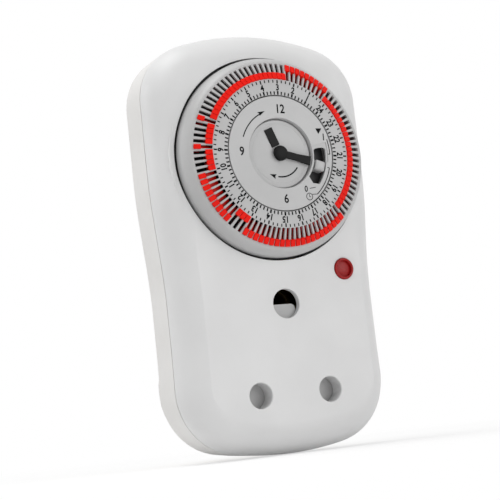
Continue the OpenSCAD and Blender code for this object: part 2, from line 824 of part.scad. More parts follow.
module motor_pinion() {
    y0 = back_y + frame_t;
    color(steel)
        on_dial() {
            rod(motor_shaft_r, minute_wheel_y - 0.2, y0 + 2.2, motor_pos);
            slab(minute_wheel_y - 0.1, minute_wheel_y + gear_t + 0.1)
                spot(motor_pos)
                    polygon(gear_outline(0.5, motor_teeth, 270 - motor_turn + 180 / motor_teeth));
        }
}

// ---------- dial and tappets ----------
// Places a piece drawn along a slot: X up the cone, Y out of it, Z across it
module along_slot(k) {
    on_dial()
        rotate([0, tappet_heading(k) - 90, 0])
            translate([cone_in, dial_y, 0])
                rotate([0, 0, cone_angle])
                    rotate([180, 0, 0])
                        children();
}
module dial_ring() {
    color(light_grey)
        difference() {
            on_dial()
                turned([[sleeve_out + fit, web_y - plate_t], [well_r, web_y - plate_t], [well_r, dial_y],
                    [cone_in, dial_y], [cone_out, dial_y + cone_drop], [cone_out + 0.45, dial_y + cone_drop],
                    [dial_r - 0.35, dial_y + 5.3], [dial_r, dial_y + 6], [dial_r, rim_back_y],
                    [dial_r - 1.4, rim_back_y], [dial_r - 1.4, ribs_y], [rib_in, ribs_y],
                    [rib_in, dial_y + plate_t], [well_r + well_wall, dial_y + plate_t],
                    [well_r + well_wall, web_y], [hub_r, web_y], [hub_r, hub_y],
                    [sleeve_out + fit, hub_y]]);
            for (k = [0:tappet_count - 1])
                along_slot(k)
                    translate([slot_end, -8, -slot_w / 2])
                        cube([cone_len - 2 * slot_end, 10, slot_w]);
        }
}
module tappet(k) {
    u = slot_end + 0.05 + (on_at(k) ? tappet_travel : 0);
    color(signal_red)
        along_slot(k)
            translate([u, 0, 0]) {
                translate([0, 0, -blade_w / 2])
                    linear_extrude(blade_w)
                        polygon([[0, fit], [head_len, fit], [head_len, -blade_h], [0, -blade_h],
                            [0, -tail_bottom[0]], [-tail_len, -tail_bottom[1]], [-tail_len, -tail_top[1]],
                            [0, -tail_top[0]]]);
                translate([0, 0, -head_w / 2])
                    linear_extrude(head_w)
                        polygon([[0, fit], [head_len, fit], [head_len, head_h - 0.25],
                            [head_len - 0.4, head_h], [0.35, head_h], [0, head_h - 0.2]]);
                translate([0, -blade_h - foot_h, -foot_w / 2])
                    cube([head_len, foot_h, foot_w]);
            }
}
module tappets_on() {
    for (k = [0:tappet_count - 1])
        if (on_at(k) && !own(k)) tappet(k);
}
module tappets_off() {
    for (k = [0:tappet_count - 1])
        if (!on_at(k) && !own(k)) tappet(k);
}

// ---------- override, switch and follower ----------
// The dark plate behind the window, on its sleeve, with the cam that leads back to the switch
module override_arm() {
    half = window_half + knob_swing + 2;
    sleeve_mid = (sleeve_in + sleeve_out) / 2;
    color([0.12, 0.12, 0.13])
        on_dial() {
            turned([[sleeve_in, knob_y], [sleeve_out, knob_y], [sleeve_out, plate_y - 2.3],
                [sleeve_in, plate_y - 2.3]]);
            slab(knob_y, knob_y + knob_arm_t)
                rotate(90 - knob_at)
                    polygon(concat(arc([0, 0], window_out + 0.7, -half, half, 24),
                        arc([0, 0], sleeve_mid, half, -half, 12)));
            slab(hub_y + 0.2, hub_y + 1)
                difference() {
                    union() {
                        rotate(90 - knob_at) polygon([[0, -3], [21, -1.4], [21, 1.4], [0, 3]]);
                        circle(r = 5.4, $fn = 64);
                    }
                    circle(r = sleeve_mid, $fn = 64);
                }
        }
}
function knob_outline(d, r) =
    let (a = knob_half[0] - d, b = knob_half[1] - d)
    rounded([[-a, -b], [a, -b], [a, b], [-a, b]], [r, r, r, r]);
module override_knob() {
    color(light_grey)
        on_dial()
            rotate([0, knob_at - 90, 0])
                translate([knob_r, 0, 0])
                    rotate([90, 0, 0])
                        translate([0, 0, -knob_y]) {
                            linear_extrude(knob_y - dial_y)
                                polygon(knob_outline(0, 0.6));
                            translate([0, 0, knob_y - dial_y - 0.1])
                                linear_extrude(0.9)
                                    polygon(knob_outline(0.4, 0.8));
                        }
}
module switch_body() {
    y0 = plate_y + frame_t;
    color([0.20, 0.20, 0.22])
        on_dial()
            difference() {
                block(switch_x, [y0, y0 + switch_h], switch_z);
                for (z = [switch_z[0] + 3.2, switch_z[1] - 3.2])
                    rod(1.2, y0 - 1, y0 + switch_h + 1, [switch_x[0] + 2.6, z]);
                translate([switch_x[1] - 4, lever_y + 2.5, tail_pos[1]])
                    rotate([0, 90, 0]) cylinder(r = plunger_r + fit, h = 5, $fn = 48);
            }
}
module switch_plunger() {
    tip = tail_pos[0] - tail_w / 2 - 0.05;
    color(signal_red)
        on_dial()
            translate([switch_x[1] - 3.9, lever_y + 2.5, tail_pos[1]])
                rotate([0, 90, 0]) cylinder(r = plunger_r, h = tip - switch_x[1] + 3.9, $fn = 48);
}
module follower_lever() {
    color(acetal)
        on_dial() {
            difference() {
                union() {
                    slab(lever_y, lever_y + lever_t) bar(lever_pos, nose_pos, 3.4);
                    slab(lever_y, lever_y + lever_deep) {
                        spot(lever_pos) circle(r = 2.6, $fn = 48);
                        bar(lever_pos, tail_pos, tail_w);
                    }
                }
                rod(1.2 + fit, lever_y - 1, lever_y + lever_deep + 1, lever_pos);
            }
            rod(nose_r, ribs_y + 1, lever_y + 0.1, nose_pos);
        }
}
module follower_spring() {
    color(steel)
        on_dial()
            coil(lever_pos, 1.2 + coil_wire + 0.02, coil_wire, lever_y + lever_deep + 0.1, 3, [25, 175],
                lever_pos[0] - switch_x[1] - 0.25);
}

front_housing();
rear_housing();
case_screw(0);  // case_screw_1
case_screw(1);  // case_screw_2
case_screw(2);  // case_screw_3
case_screw(3);  // case_screw_4
lamp_lens();
neon_bulb();
neon_resistor();
contact([power_x, 0], power_pin_r + grip, power_contact_y, [0, 90]);  // live_contact
contact([-power_x, 0], power_pin_r + grip, power_contact_y, [0, 90]);  // neutral_contact
contact([0, earth_height], earth_pin_r + grip, earth_contact_y, [0, 90]);  // earth_contact
plug_pin([power_x, 0], power_pin_r, power_pin_len, tail_y);  // live_pin
plug_pin([-power_x, 0], power_pin_r, power_pin_len, tail_y);  // neutral_pin
earth_pin();
supply_strap();
switched_strap();
neutral_strap();
shutter();
shutter_spring();
front_plate();
back_plate();
pillar(0);  // pillar_1
pillar(1);  // pillar_2
pillar(2);  // pillar_3
mech_screws();
center_bush();
minute_arbor();
minute_hand();
hour_wheel();
hour_disc();
hour_hand();
layshaft();
dial_ring();
dial_gear();
tappets_on();
tappets_off();
tappet(28);  // tappet_0700
tappet(29);  // tappet_0715
tappet(30);  // tappet_0730
tappet(31);  // tappet_0745
tappet(32);  // tappet_0800
tappet(33);  // tappet_0815
tappet(34);  // tappet_0830
tappet(35);  // tappet_0845
tappet(36);  // tappet_0900
tappet(37);  // tappet_0915
tappet(38);  // tappet_0930
tappet(39);  // tappet_0945
clock_face();
override_arm();
override_knob();
motor_can();
motor_pinion();
switch_body();
switch_plunger();
follower_lever();
follower_spring();
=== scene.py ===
# %% [markdown]
# # A plug-in day timer
#
# This lesson dresses a wall-socket timer: a moulded case in two halves, a slotted dial with red
# sliding tappets, a printed clock face, a lamp, three socket holes and three plug pins.
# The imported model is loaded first. It is the fixed frame, so every piece below goes where the frame says.

# %% Load the frame
import json
import math

import bmesh
import bpy
from mathutils import Matrix, Vector


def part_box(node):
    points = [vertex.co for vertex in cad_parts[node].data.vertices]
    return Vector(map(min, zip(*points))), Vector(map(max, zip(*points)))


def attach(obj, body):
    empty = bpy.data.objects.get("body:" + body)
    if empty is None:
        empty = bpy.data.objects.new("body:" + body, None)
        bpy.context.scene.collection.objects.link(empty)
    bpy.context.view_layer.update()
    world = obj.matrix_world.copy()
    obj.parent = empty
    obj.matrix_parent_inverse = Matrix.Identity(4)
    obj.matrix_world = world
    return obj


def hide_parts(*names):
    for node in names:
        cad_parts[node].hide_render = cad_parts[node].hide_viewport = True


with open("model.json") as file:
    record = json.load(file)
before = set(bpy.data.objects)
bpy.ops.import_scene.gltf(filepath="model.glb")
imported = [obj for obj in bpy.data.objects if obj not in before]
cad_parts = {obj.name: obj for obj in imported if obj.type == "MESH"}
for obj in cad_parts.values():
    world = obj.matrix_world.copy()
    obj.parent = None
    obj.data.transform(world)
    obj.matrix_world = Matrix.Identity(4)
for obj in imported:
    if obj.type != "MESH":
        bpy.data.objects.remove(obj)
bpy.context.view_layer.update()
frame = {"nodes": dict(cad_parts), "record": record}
nodes = frame["nodes"]
mm = 0.001
print("CAD nodes:", len(nodes))

# %% [markdown]
# ## Sizes that the frame gives
#
# The clock's axis, the case's width and height and its front plane are read from the loaded nodes,
# so the looks stay on the model when it changes. The other values are sizes of the real object.

# %% Read the main places
case_low, case_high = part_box("front_housing")
front = case_low.y
body_w = case_high.x - case_low.x
body_top = case_high.z
body_bottom = case_low.z
dial_low, dial_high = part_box("dial_ring")
axis_z = (dial_low.z + dial_high.z) / 2
dial_front = dial_low.y
seam = front + 11.4 * mm
seam_gap = 0.3 * mm
seam_round = 0.25 * mm
seam_soft = 0.07 * mm
wall = 2 * mm
edge_radius = 9.8 * mm
base_height = 8 * mm
pin_x = 12.7 * mm
earth_z = 28.6 * mm
print("front plane", round(front / mm, 2), "dial axis height", round(axis_z / mm, 2))

# %% [markdown]
# ## Helpers for modelling in code
#
# Operators act on what is selected. The frame's nodes are selected after loading, so each step
# starts from nothing selected, and picks its faces and edges by their place.


# %% Select, pick and finish
def deselect():
    bpy.ops.object.select_all(action="DESELECT")


def only(piece):
    """Selects one piece and makes it the active one."""
    deselect()
    piece.select_set(True)
    bpy.context.view_layer.objects.active = piece


def edit(piece):
    """Opens a piece in edit mode with nothing picked."""
    only(piece)
    bpy.ops.object.mode_set(mode="EDIT")
    bpy.ops.mesh.select_mode(type="VERT")
    bpy.ops.mesh.select_all(action="DESELECT")


def done():
    bpy.ops.object.mode_set(mode="OBJECT")


def pick_edges(test):
    """Selects the edges of the edited mesh whose two ends pass a test of their place."""
    bpy.ops.mesh.select_mode(type="EDGE")
    mesh = bmesh.from_edit_mesh(bpy.context.object.data)
    for edge in mesh.edges:
        edge.select_set(all(test(v.co) for v in edge.verts))
    bmesh.update_edit_mesh(bpy.context.object.data)


def pick_faces(test):
    """Selects the faces of the edited mesh whose centre and normal pass a test."""
    bpy.ops.mesh.select_mode(type="FACE")
    mesh = bmesh.from_edit_mesh(bpy.context.object.data)
    for face in mesh.faces:
        face.select_set(test(face.calc_center_median(), face.normal))
    bmesh.update_edit_mesh(bpy.context.object.data)


def tidy_mesh(piece):
    """Merges doubles and turns every face outwards."""
    edit(piece)
    bpy.ops.mesh.select_all(action="SELECT")
    bpy.ops.mesh.remove_doubles(threshold=1e-6)
    bpy.ops.mesh.normals_make_consistent(inside=False)
    done()


def apply_modifier(piece, kind, **values):
    """Adds a modifier with the given values and applies it at once."""
    modifier = piece.modifiers.new(kind.lower(), kind)
    for key, value in values.items():
        setattr(modifier, key, value)
    only(piece)
    bpy.ops.object.modifier_apply(modifier=modifier.name)


def smooth(piece, degrees=35):
    """Soft shading up to an angle, with flat faces kept flat by weighted normals."""
    only(piece)
    bpy.ops.object.shade_smooth_by_angle(angle=math.radians(degrees))
    apply_modifier(piece, "WEIGHTED_NORMAL", weight=80, keep_sharp=True)


def combine(piece, tool, operation="DIFFERENCE"):
    """A boolean of two closed solids. The tool is used up."""
    apply_modifier(piece, "BOOLEAN", object=tool, operation=operation, solver="EXACT")
    bpy.data.objects.remove(tool)


def loop(name, points):
    """A closed loop of edges: a circle whose vertices are moved to the given places."""
    deselect()
    bpy.ops.mesh.primitive_circle_add(vertices=len(points), radius=mm)
    piece = bpy.context.object
    piece.name = name
    for vertex, place in zip(piece.data.vertices, points):
        vertex.co = place
    return piece


def skin(name, rings):
    """A closed solid through rings of points.

    The rows of a grid are moved to the rings, and its two ends are filled.
    """
    across = len(rings[0])
    deselect()
    bpy.ops.mesh.primitive_grid_add(x_subdivisions=across, y_subdivisions=len(rings) - 1, size=mm)
    piece = bpy.context.object
    piece.name = name
    for number, vertex in enumerate(piece.data.vertices):
        row, column = divmod(number, across + 1)
        vertex.co = rings[row][column % across]
    tidy_mesh(piece)
    edit(piece)
    bpy.ops.mesh.select_all(action="SELECT")
    bpy.ops.mesh.fill_holes(sides=0)
    done()
    tidy_mesh(piece)
    return piece


def slab(name, outline, y0, y1):
    """An outline in the X-Z plane, filled and extruded from y0 to y1."""
    piece = loop(name, [(x, y0, z) for x, z in outline])
    edit(piece)
    bpy.ops.mesh.select_all(action="SELECT")
    bpy.ops.mesh.edge_face_add()
    bpy.ops.mesh.extrude_region_move(TRANSFORM_OT_translate={"value": (0, y1 - y0, 0)})
    done()
    tidy_mesh(piece)
    return piece


def lathe(name, profile, plane, at, steps=128):
    """A profile of (radius, depth) in millimetres behind a plane, spun about an axis along Y."""
    x, z = at
    piece = loop(name, [(x + r * mm, plane + y * mm, z) for r, y in profile])
    edit(piece)
    bpy.ops.mesh.select_all(action="SELECT")
    bpy.ops.mesh.spin(steps=steps, angle=2 * math.pi, center=(x, 0, z), axis=(0, 1, 0))
    done()
    tidy_mesh(piece)
    return piece


def rod(name, radius, y0, y1, at, sides=96):
    """A round bar along Y."""
    deselect()
    bpy.ops.mesh.primitive_cylinder_add(
        vertices=sides, radius=radius, depth=y1 - y0,
        location=(at[0], (y0 + y1) / 2, at[1]), rotation=(math.pi / 2, 0, 0))
    piece = bpy.context.object
    piece.name = name
    bpy.ops.object.transform_apply(location=True, rotation=True, scale=True)
    return piece


def box(name, x, y, z):
    """A block between pairs of coordinates."""
    deselect()
    centre = [(a + b) / 2 for a, b in (x, y, z)]
    bpy.ops.mesh.primitive_cube_add(size=1, location=centre)
    piece = bpy.context.object
    piece.name = name
    piece.scale = [b - a for a, b in (x, y, z)]
    bpy.ops.object.transform_apply(location=True, rotation=True, scale=True)
    return piece


def round_edges(piece, test, width, segments=3):
    """Rounds the edges whose two ends pass a test of their place."""
    edit(piece)
    pick_edges(test)
    bpy.ops.mesh.bevel(offset=width, segments=segments, profile=0.5, affect="EDGES", clamp_overlap=True)
    done()


def ring_test(at, radius, y, slack=0.03 * mm):
    """True on a circle about an axis along Y."""
    def test(co):
        away = math.hypot(co.x - at[0], co.z - at[1])
        return abs(away - radius) < slack and abs(co.y - y) < slack
    return test


def heading(angle, radius=1.0):
    """The point at a clock angle in degrees from up, seen from the front."""
    return Vector((radius * math.sin(math.radians(angle)), 0, radius * math.cos(math.radians(angle))))


def arc(centre, radius, start, end, steps):
    """Points on an arc in the X-Z plane, with angles in degrees from +X towards +Z."""
    turns = [math.radians(start + (end - start) * i / steps) for i in range(steps + 1)]
    return [(centre[0] + radius * math.cos(t), centre[1] + radius * math.sin(t)) for t in turns]


# %% [markdown]
# ## Camera, light and stage
#
# The timer is seen from its lower left with a long lens. The lamps are large and soft. The floor
# and the surroundings look white to the camera and to reflections, and light the object less. Near
# the object the floor keeps part of its own shade, so the shadow shows.

# %% Place the camera
camera_azimuth = -29.01
camera_elevation = -9.02
camera_roll = -6.47
camera_distance = 473.5 * mm
camera_lens = 104.5
camera_shift = (-0.0477, -0.1162)
aim = Vector((0, front, 65.2 * mm))

azimuth = math.radians(camera_azimuth)
elevation = math.radians(camera_elevation)
roll = math.radians(camera_roll)
back = Vector((math.sin(azimuth) * math.cos(elevation),
               -math.cos(azimuth) * math.cos(elevation),
               math.sin(elevation)))
right = Vector((math.cos(azimuth), math.sin(azimuth), 0))
up = back.cross(right)
turned_right = right * math.cos(roll) + up * math.sin(roll)
turned_up = up * math.cos(roll) - right * math.sin(roll)
deselect()
bpy.ops.object.camera_add()
camera = bpy.context.object
camera.name = "camera"
turn = Matrix((turned_right, turned_up, back)).transposed().to_4x4()
camera.matrix_world = Matrix.Translation(aim + back * camera_distance) @ turn
camera.data.lens = camera_lens
camera.data.sensor_width = 36
camera.data.shift_x = camera_shift[0]
camera.data.shift_y = camera_shift[1]
camera.data.clip_start = 0.01
bpy.context.scene.camera = camera
bpy.context.scene.view_settings.view_transform = "Standard"

# %% Light it softly
case_centre = Vector((0, front / 2, (body_top + body_bottom) / 2))
lamp_size = 0.55
room_light = 0.48
floor_grey = 0.93
near_floor = 80 * mm
far_floor = 300 * mm
near_white = 0.6


def soft_lamp(name, place, power):
    """A square lamp that faces the middle of the case."""
    deselect()
    bpy.ops.object.light_add(type="AREA", location=place)
    lamp = bpy.context.object
    lamp.name = name
    lamp.data.size = lamp_size
    lamp.data.energy = power
    lamp.rotation_euler = (case_centre - Vector(place)).to_track_quat("-Z", "Y").to_euler()


soft_lamp("key_lamp", (0.5, -0.8, 0.3), 1.15)
soft_lamp("low_lamp", (0.35, -0.9, 0.1), 1.45)
soft_lamp("top_lamp", (-0.25, -0.15, 0.97), 3.9)
soft_lamp("high_left_lamp", (-0.6, -0.3, 0.85), 0.6)
soft_lamp("left_back_lamp", (-0.8, 0.5, 0.4), 1.3)
soft_lamp("back_lamp", (-0.3, 0.3, 1.0), 1.45)


def add_node(tree, kind, group=None, **values):
    """A new shader node, with input values given by socket name."""
    node = tree.nodes.new("ShaderNode" + kind)
    if group is not None:
        node.node_tree = group
    for key, value in values.items():
        node.inputs[key.replace("_", " ")].default_value = value
    return node


def calculate(tree, operation, first, second):
    """The output of a math node between two sockets."""
    node = add_node(tree, "Math")
    node.operation = operation
    tree.links.new(first, node.inputs[0])
    tree.links.new(second, node.inputs[1])
    return node.outputs[0]


def pale_to_camera(tree, pale, lit, output, share=None):
    """Mixes plain white over a lit shader, for camera, glossy and transmission rays.

    The share is a socket that says how much white is mixed in. Without it the white is full.
    """
    rays = add_node(tree, "LightPath")
    direct = calculate(tree, "MAXIMUM", rays.outputs["Is Camera Ray"], rays.outputs["Is Glossy Ray"])
    white = calculate(tree, "MAXIMUM", direct, rays.outputs["Is Transmission Ray"])
    if share is not None:
        white = calculate(tree, "MULTIPLY", white, share)
    mix = add_node(tree, "MixShader")
    tree.links.new(white, mix.inputs[0])
    tree.links.new(lit.outputs[0], mix.inputs[1])
    tree.links.new(pale.outputs[0], mix.inputs[2])
    tree.links.new(mix.outputs[0], output.inputs["Surface"])


world = bpy.data.worlds.new("pale_room")
bpy.context.scene.world = world
world.use_nodes = True
world.node_tree.nodes.clear()
room = add_node(world.node_tree, "Background", Color=(1, 1, 1, 1), Strength=room_light)
seen = add_node(world.node_tree, "Background", Color=(1, 1, 1, 1), Strength=1.0)
world_output = add_node(world.node_tree, "OutputWorld")
pale_to_camera(world.node_tree, seen, room, world_output)

deselect()
bpy.ops.mesh.primitive_plane_add(size=30, location=(0, 0, body_bottom - 0.2 * mm))
floor = bpy.context.object
floor.name = "floor"
floor_finish = bpy.data.materials.new("pale_floor")
floor_finish.use_nodes = True
floor_tree = floor_finish.node_tree
floor_lit = floor_tree.nodes["Principled BSDF"]
floor_lit.inputs["Base Color"].default_value = (floor_grey, floor_grey, floor_grey, 1)
floor_lit.inputs["Roughness"].default_value = 0.9
floor_pale = add_node(floor_tree, "Emission")
floor_place = add_node(floor_tree, "TexCoord")
floor_reach = add_node(floor_tree, "VectorMath")
floor_reach.operation = "LENGTH"
floor_tree.links.new(floor_place.outputs["Object"], floor_reach.inputs[0])
floor_share = add_node(floor_tree, "MapRange", From_Min=near_floor, From_Max=far_floor, To_Min=near_white)
floor_tree.links.new(floor_reach.outputs["Value"], floor_share.inputs["Value"])
floor_output = floor_tree.nodes["Material Output"]
pale_to_camera(floor_tree, floor_pale, floor_lit, floor_output, floor_share.outputs["Result"])
floor.data.materials.append(floor_finish)
print("camera", [round(c / mm, 1) for c in camera.location])

# %% [markdown]
# ## Finishes
#
# Moulded plastic is never one flat colour. A fine spark grain catches the light, and a faint cloudy
# tone comes from the flow of the plastic. Two effects are shared by all the finishes, so each is a
# node group with its own inputs: `moulded_grain` gives a height, and `soft_cloud` gives a mask. Both
# read Object coordinates, so the pattern stays on its piece when the piece moves.


# %% Build the shared effects
def new_group(name, inputs, output):
    """A node group with number inputs, a vector input and one number output."""
    group = bpy.data.node_groups.new(name, "ShaderNodeTree")
    for label, value in inputs:
        socket = group.interface.new_socket(name=label, in_out="INPUT", socket_type="NodeSocketFloat")
        socket.default_value = value
    group.interface.new_socket(name="Vector", in_out="INPUT", socket_type="NodeSocketVector")
    group.interface.new_socket(name=output, in_out="OUTPUT", socket_type="NodeSocketFloat")
    return group, group.nodes.new("NodeGroupInput"), group.nodes.new("NodeGroupOutput")


grain_group, grain_in, grain_out = new_group("moulded_grain", [("Scale", 2600), ("Depth", 1)], "Height")
grain_noise = add_node(grain_group, "TexNoise", Detail=3)
grain_group.links.new(grain_in.outputs["Vector"], grain_noise.inputs["Vector"])
grain_group.links.new(grain_in.outputs["Scale"], grain_noise.inputs["Scale"])
grain_depth = calculate(grain_group, "MULTIPLY", grain_noise.outputs["Fac"], grain_in.outputs["Depth"])
grain_group.links.new(grain_depth, grain_out.inputs["Height"])

cloud_inputs = [("Scale", 40), ("Low", 0.4), ("High", 0.6)]
cloud_group, cloud_in, cloud_out = new_group("soft_cloud", cloud_inputs, "Mask")
cloud_noise = add_node(cloud_group, "TexNoise", Detail=4)
cloud_group.links.new(cloud_in.outputs["Vector"], cloud_noise.inputs["Vector"])
cloud_group.links.new(cloud_in.outputs["Scale"], cloud_noise.inputs["Scale"])
cloud_range = add_node(cloud_group, "MapRange")
cloud_group.links.new(cloud_noise.outputs["Fac"], cloud_range.inputs["Value"])
cloud_group.links.new(cloud_in.outputs["Low"], cloud_range.inputs["From Min"])
cloud_group.links.new(cloud_in.outputs["High"], cloud_range.inputs["From Max"])
cloud_group.links.new(cloud_range.outputs["Result"], cloud_out.inputs["Mask"])


# %% Make a finish
def finish(name, colour, tone, rough, rough_tone, grain_scale, grain_height,
           cloud_scale=60, stretch=(1, 1, 1), **plain):
    """A material: two tones mixed by cloud, two roughnesses, and grain as bump."""
    material = bpy.data.materials.new(name)
    material.use_nodes = True
    tree = material.node_tree
    shader = tree.nodes["Principled BSDF"]
    place = add_node(tree, "TexCoord")
    mapping = add_node(tree, "Mapping", Scale=stretch)
    tree.links.new(place.outputs["Object"], mapping.inputs["Vector"])
    cloud = add_node(tree, "Group", cloud_group, Scale=cloud_scale, Low=0.35, High=0.65)
    tree.links.new(mapping.outputs["Vector"], cloud.inputs["Vector"])
    colours = add_node(tree, "Mix")
    colours.data_type = "RGBA"
    colours.inputs["A"].default_value = (*colour, 1)
    colours.inputs["B"].default_value = (*tone, 1)
    tree.links.new(cloud.outputs["Mask"], colours.inputs["Factor"])
    tree.links.new(colours.outputs["Result"], shader.inputs["Base Color"])
    roughs = add_node(tree, "MapRange", To_Min=rough, To_Max=rough_tone)
    tree.links.new(cloud.outputs["Mask"], roughs.inputs["Value"])
    tree.links.new(roughs.outputs["Result"], shader.inputs["Roughness"])
    grain = add_node(tree, "Group", grain_group, Scale=grain_scale)
    tree.links.new(mapping.outputs["Vector"], grain.inputs["Vector"])
    bump = add_node(tree, "Bump", Strength=0.6, Distance=grain_height)
    tree.links.new(grain.outputs["Height"], bump.inputs["Height"])
    tree.links.new(bump.outputs["Normal"], shader.inputs["Normal"])
    for key, value in plain.items():
        shader.inputs[key.replace("_", " ")].default_value = value
    return material


def grey(level, warm=0.0):
    """A linear colour from a screen grey, with a touch of warmth."""
    linear = ((level / 255 + 0.055) / 1.055) ** 2.4
    return (linear * (1 + warm), linear, linear * (1 - 1.5 * warm))


front_plastic = finish("front_plastic", grey(214), grey(211), 0.38, 0.46, 2400, 0.006 * mm, IOR=1.46)
rear_plastic = finish("rear_plastic", grey(218, 0.012), grey(214, 0.015), 0.45, 0.52, 2400, 0.008 * mm,
                      IOR=1.46)
dial_plastic = finish("dial_plastic", grey(180), grey(176), 0.4, 0.46, 3000, 0.004 * mm, IOR=1.46)
face_plastic = finish("face_plastic", grey(185), grey(181), 0.42, 0.5, 3000, 0.004 * mm, IOR=1.46)
tappet_red = finish("tappet_red", (0.82, 0.011, 0.005), (0.75, 0.009, 0.004), 0.36, 0.44, 3000, 0.004 * mm,
                    Specular_IOR_Level=0.12)
hand_black = finish("hand_black", (0.006, 0.006, 0.006), (0.009, 0.009, 0.009), 0.4, 0.5, 2600,
                    0.004 * mm, Specular_IOR_Level=0.12)
frame_black = finish("frame_black", (0.022, 0.022, 0.024), (0.03, 0.03, 0.032), 0.5, 0.6, 2600, 0.006 * mm)
print_ink = finish("print_ink", (0.006, 0.006, 0.007), (0.010, 0.010, 0.011), 0.6, 0.7, 4000, 0.002 * mm,
                   Specular_IOR_Level=0.05)
acetal = finish("acetal", grey(228, 0.02), grey(222, 0.025), 0.34, 0.42, 2000, 0.004 * mm,
                Subsurface_Weight=0.05)
shutter_grey = finish("shutter_grey", grey(179), grey(173), 0.42, 0.5, 2600, 0.004 * mm)
lamp_red = finish("lamp_red", (0.34, 0.010, 0.010), (0.29, 0.008, 0.008), 0.2, 0.28, 1500, 0.002 * mm,
                  Specular_IOR_Level=0.2)
bulb_glass = finish("bulb_glass", (0.95, 0.72, 0.6), (0.9, 0.66, 0.55), 0.06, 0.1, 900, 0.001 * mm,
                    Transmission_Weight=0.8)
resistor_body = finish("resistor_body", (0.62, 0.46, 0.28), (0.56, 0.40, 0.24), 0.4, 0.5, 1800, 0.004 * mm)
turned_brass = finish("turned_brass", (0.70, 0.50, 0.20), (0.60, 0.41, 0.16), 0.20, 0.34, 1800, 0.003 * mm,
                      cloud_scale=30, stretch=(1, 14, 1), Metallic=1.0)
rolled_brass = finish("rolled_brass", (0.68, 0.48, 0.19), (0.58, 0.39, 0.15), 0.28, 0.4, 1600, 0.004 * mm,
                      cloud_scale=50, Metallic=1.0)
socket_brass = finish("socket_brass", (0.16, 0.11, 0.045), (0.12, 0.08, 0.035), 0.4, 0.5, 1600, 0.004 * mm,
                      cloud_scale=50, Metallic=1.0)
bright_steel = finish("bright_steel", (0.56, 0.57, 0.58), (0.46, 0.47, 0.48), 0.24, 0.36, 1600, 0.003 * mm,
                      cloud_scale=45, Metallic=1.0)
print("finishes:", len(bpy.data.materials))

# %% [markdown]
# ## The case
#
# The case is two mouldings that meet at a seam. Its outline is four corner radii joined by two flat
# arches, and the sides draw in to a waist below the dial. The front edge is a soft radius. Beside the
# sockets that radius is wider and stops short of the flat front, which leaves a crease that fades
# out at both ends. A box with bevelled edges would have one radius all round, so rings of points
# carry the form from the seam to the front, each drawn in by its own share.

# %% Draw the case outline
top_corner = 20 * mm
bottom_corner = 22 * mm
top_arch = 86 * mm
bottom_arch = 118 * mm
waist_depth = 2.3 * mm
waist_reach = 44 * mm
foot_flare = 0.4 * mm
foot_top = 18 * mm
crease_top = 66 * mm
crease_bottom = -14 * mm
fade = 26 * mm
crease_extra = 1.8 * mm
crease_shift = 1.2 * mm
corner_steps = 20
side_steps = 40
arch_steps = 24


def side_line(x, start, end):
    """Points along a straight side, without its ends."""
    return [(x, start + (end - start) * i / side_steps) for i in range(1, side_steps)]


def case_outline(inset):
    """The outline drawn in by inset, anticlockwise from the right side, before the waist."""
    half = body_w / 2 - inset
    high, low = body_top - inset, body_bottom + inset
    rt, rb = top_corner - inset, bottom_corner - inset
    at, ab = top_arch - inset, bottom_arch - inset
    tx, bx = half - rt, half - rb
    th, bh = math.sqrt((at - rt) ** 2 - tx ** 2), math.sqrt((ab - rb) ** 2 - bx ** 2)
    ta, ba = math.degrees(math.atan2(th, tx)), math.degrees(math.atan2(bh, bx))
    upper, lower = high - at + th, low + ab - bh
    return (arc((tx, upper), rt, 0, ta, corner_steps)
            + arc((0, high - at), at, ta, 180 - ta, arch_steps)[1:-1]
            + arc((-tx, upper), rt, 180 - ta, 180, corner_steps)
            + side_line(-half, upper, lower)
            + arc((-bx, lower), rb, 180, 180 + ba, corner_steps)
            + arc((0, low + ab), ab, 180 + ba, 360 - ba, arch_steps)[1:-1]
            + arc((bx, lower), rb, 360 - ba, 360, corner_steps)
            + side_line(half, lower, upper))


outer_line = case_outline(0)
inner_line = case_outline(mm)
inward = [((b[0] - a[0]) / mm, (b[1] - a[1]) / mm) for a, b in zip(outer_line, inner_line)]


def ease(t):
    """A smooth step from 0 to 1."""
    t = min(max(t, 0), 1)
    return t * t * (3 - 2 * t)


def narrow(z):
    """The case's width at a height, as a share of its full width."""
    waist = waist_depth * ease((axis_z - 2.5 * mm - z) / waist_reach)
    waist -= foot_flare * ease((foot_top - z) / fade)
    return 1 - 2 * waist / body_w


def crease(z):
    """How strong the crease is at a height, from 0 to 1."""
    return ease((crease_top - z) / fade) * ease((z - crease_bottom) / -crease_bottom)


# %% Carry the outline through the depth
def case_ring(y, inset, extra=0.0):
    """The outline at a depth, drawn in by inset, and by extra where the crease is."""
    ring = []
    for (x, z), (dx, dz) in zip(outer_line, inward):
        reach = inset + extra * crease(z)
        x, z = x + dx * reach, z + dz * reach
        ring.append((x * narrow(z), y, z))
    return ring


def edge_inset(y, inset, strength):
    """How far the soft front edge is in at a depth. The crease makes its radius larger."""
    radius = edge_radius + crease_extra * strength - inset
    centre = edge_radius + crease_shift * strength - inset
    ahead = min(max(front + inset + centre - y, 0), centre)
    return inset + radius - math.sqrt(radius ** 2 - ahead ** 2)


def front_block(name, inset, end, angles):
    """A solid with the front's form, drawn in by inset, from its front to end.

    The outer solid has no inset, and ends in a small round at the seam.
    """
    rings = []
    for angle in angles:
        y = front + inset + (edge_radius - inset) * (1 - math.cos(math.radians(angle)))
        soft = edge_inset(y, inset, 0)
        rings.append(case_ring(y, soft + (seam - y) * front_draft, edge_inset(y, inset, 1) - soft))
    if inset:
        rings.append(case_ring(end, inset))
    else:
        rings += [case_ring(end - seam_round, 0), case_ring(end - seam_soft, seam_soft),
                  case_ring(end, seam_round)]
    return skin(name, rings)


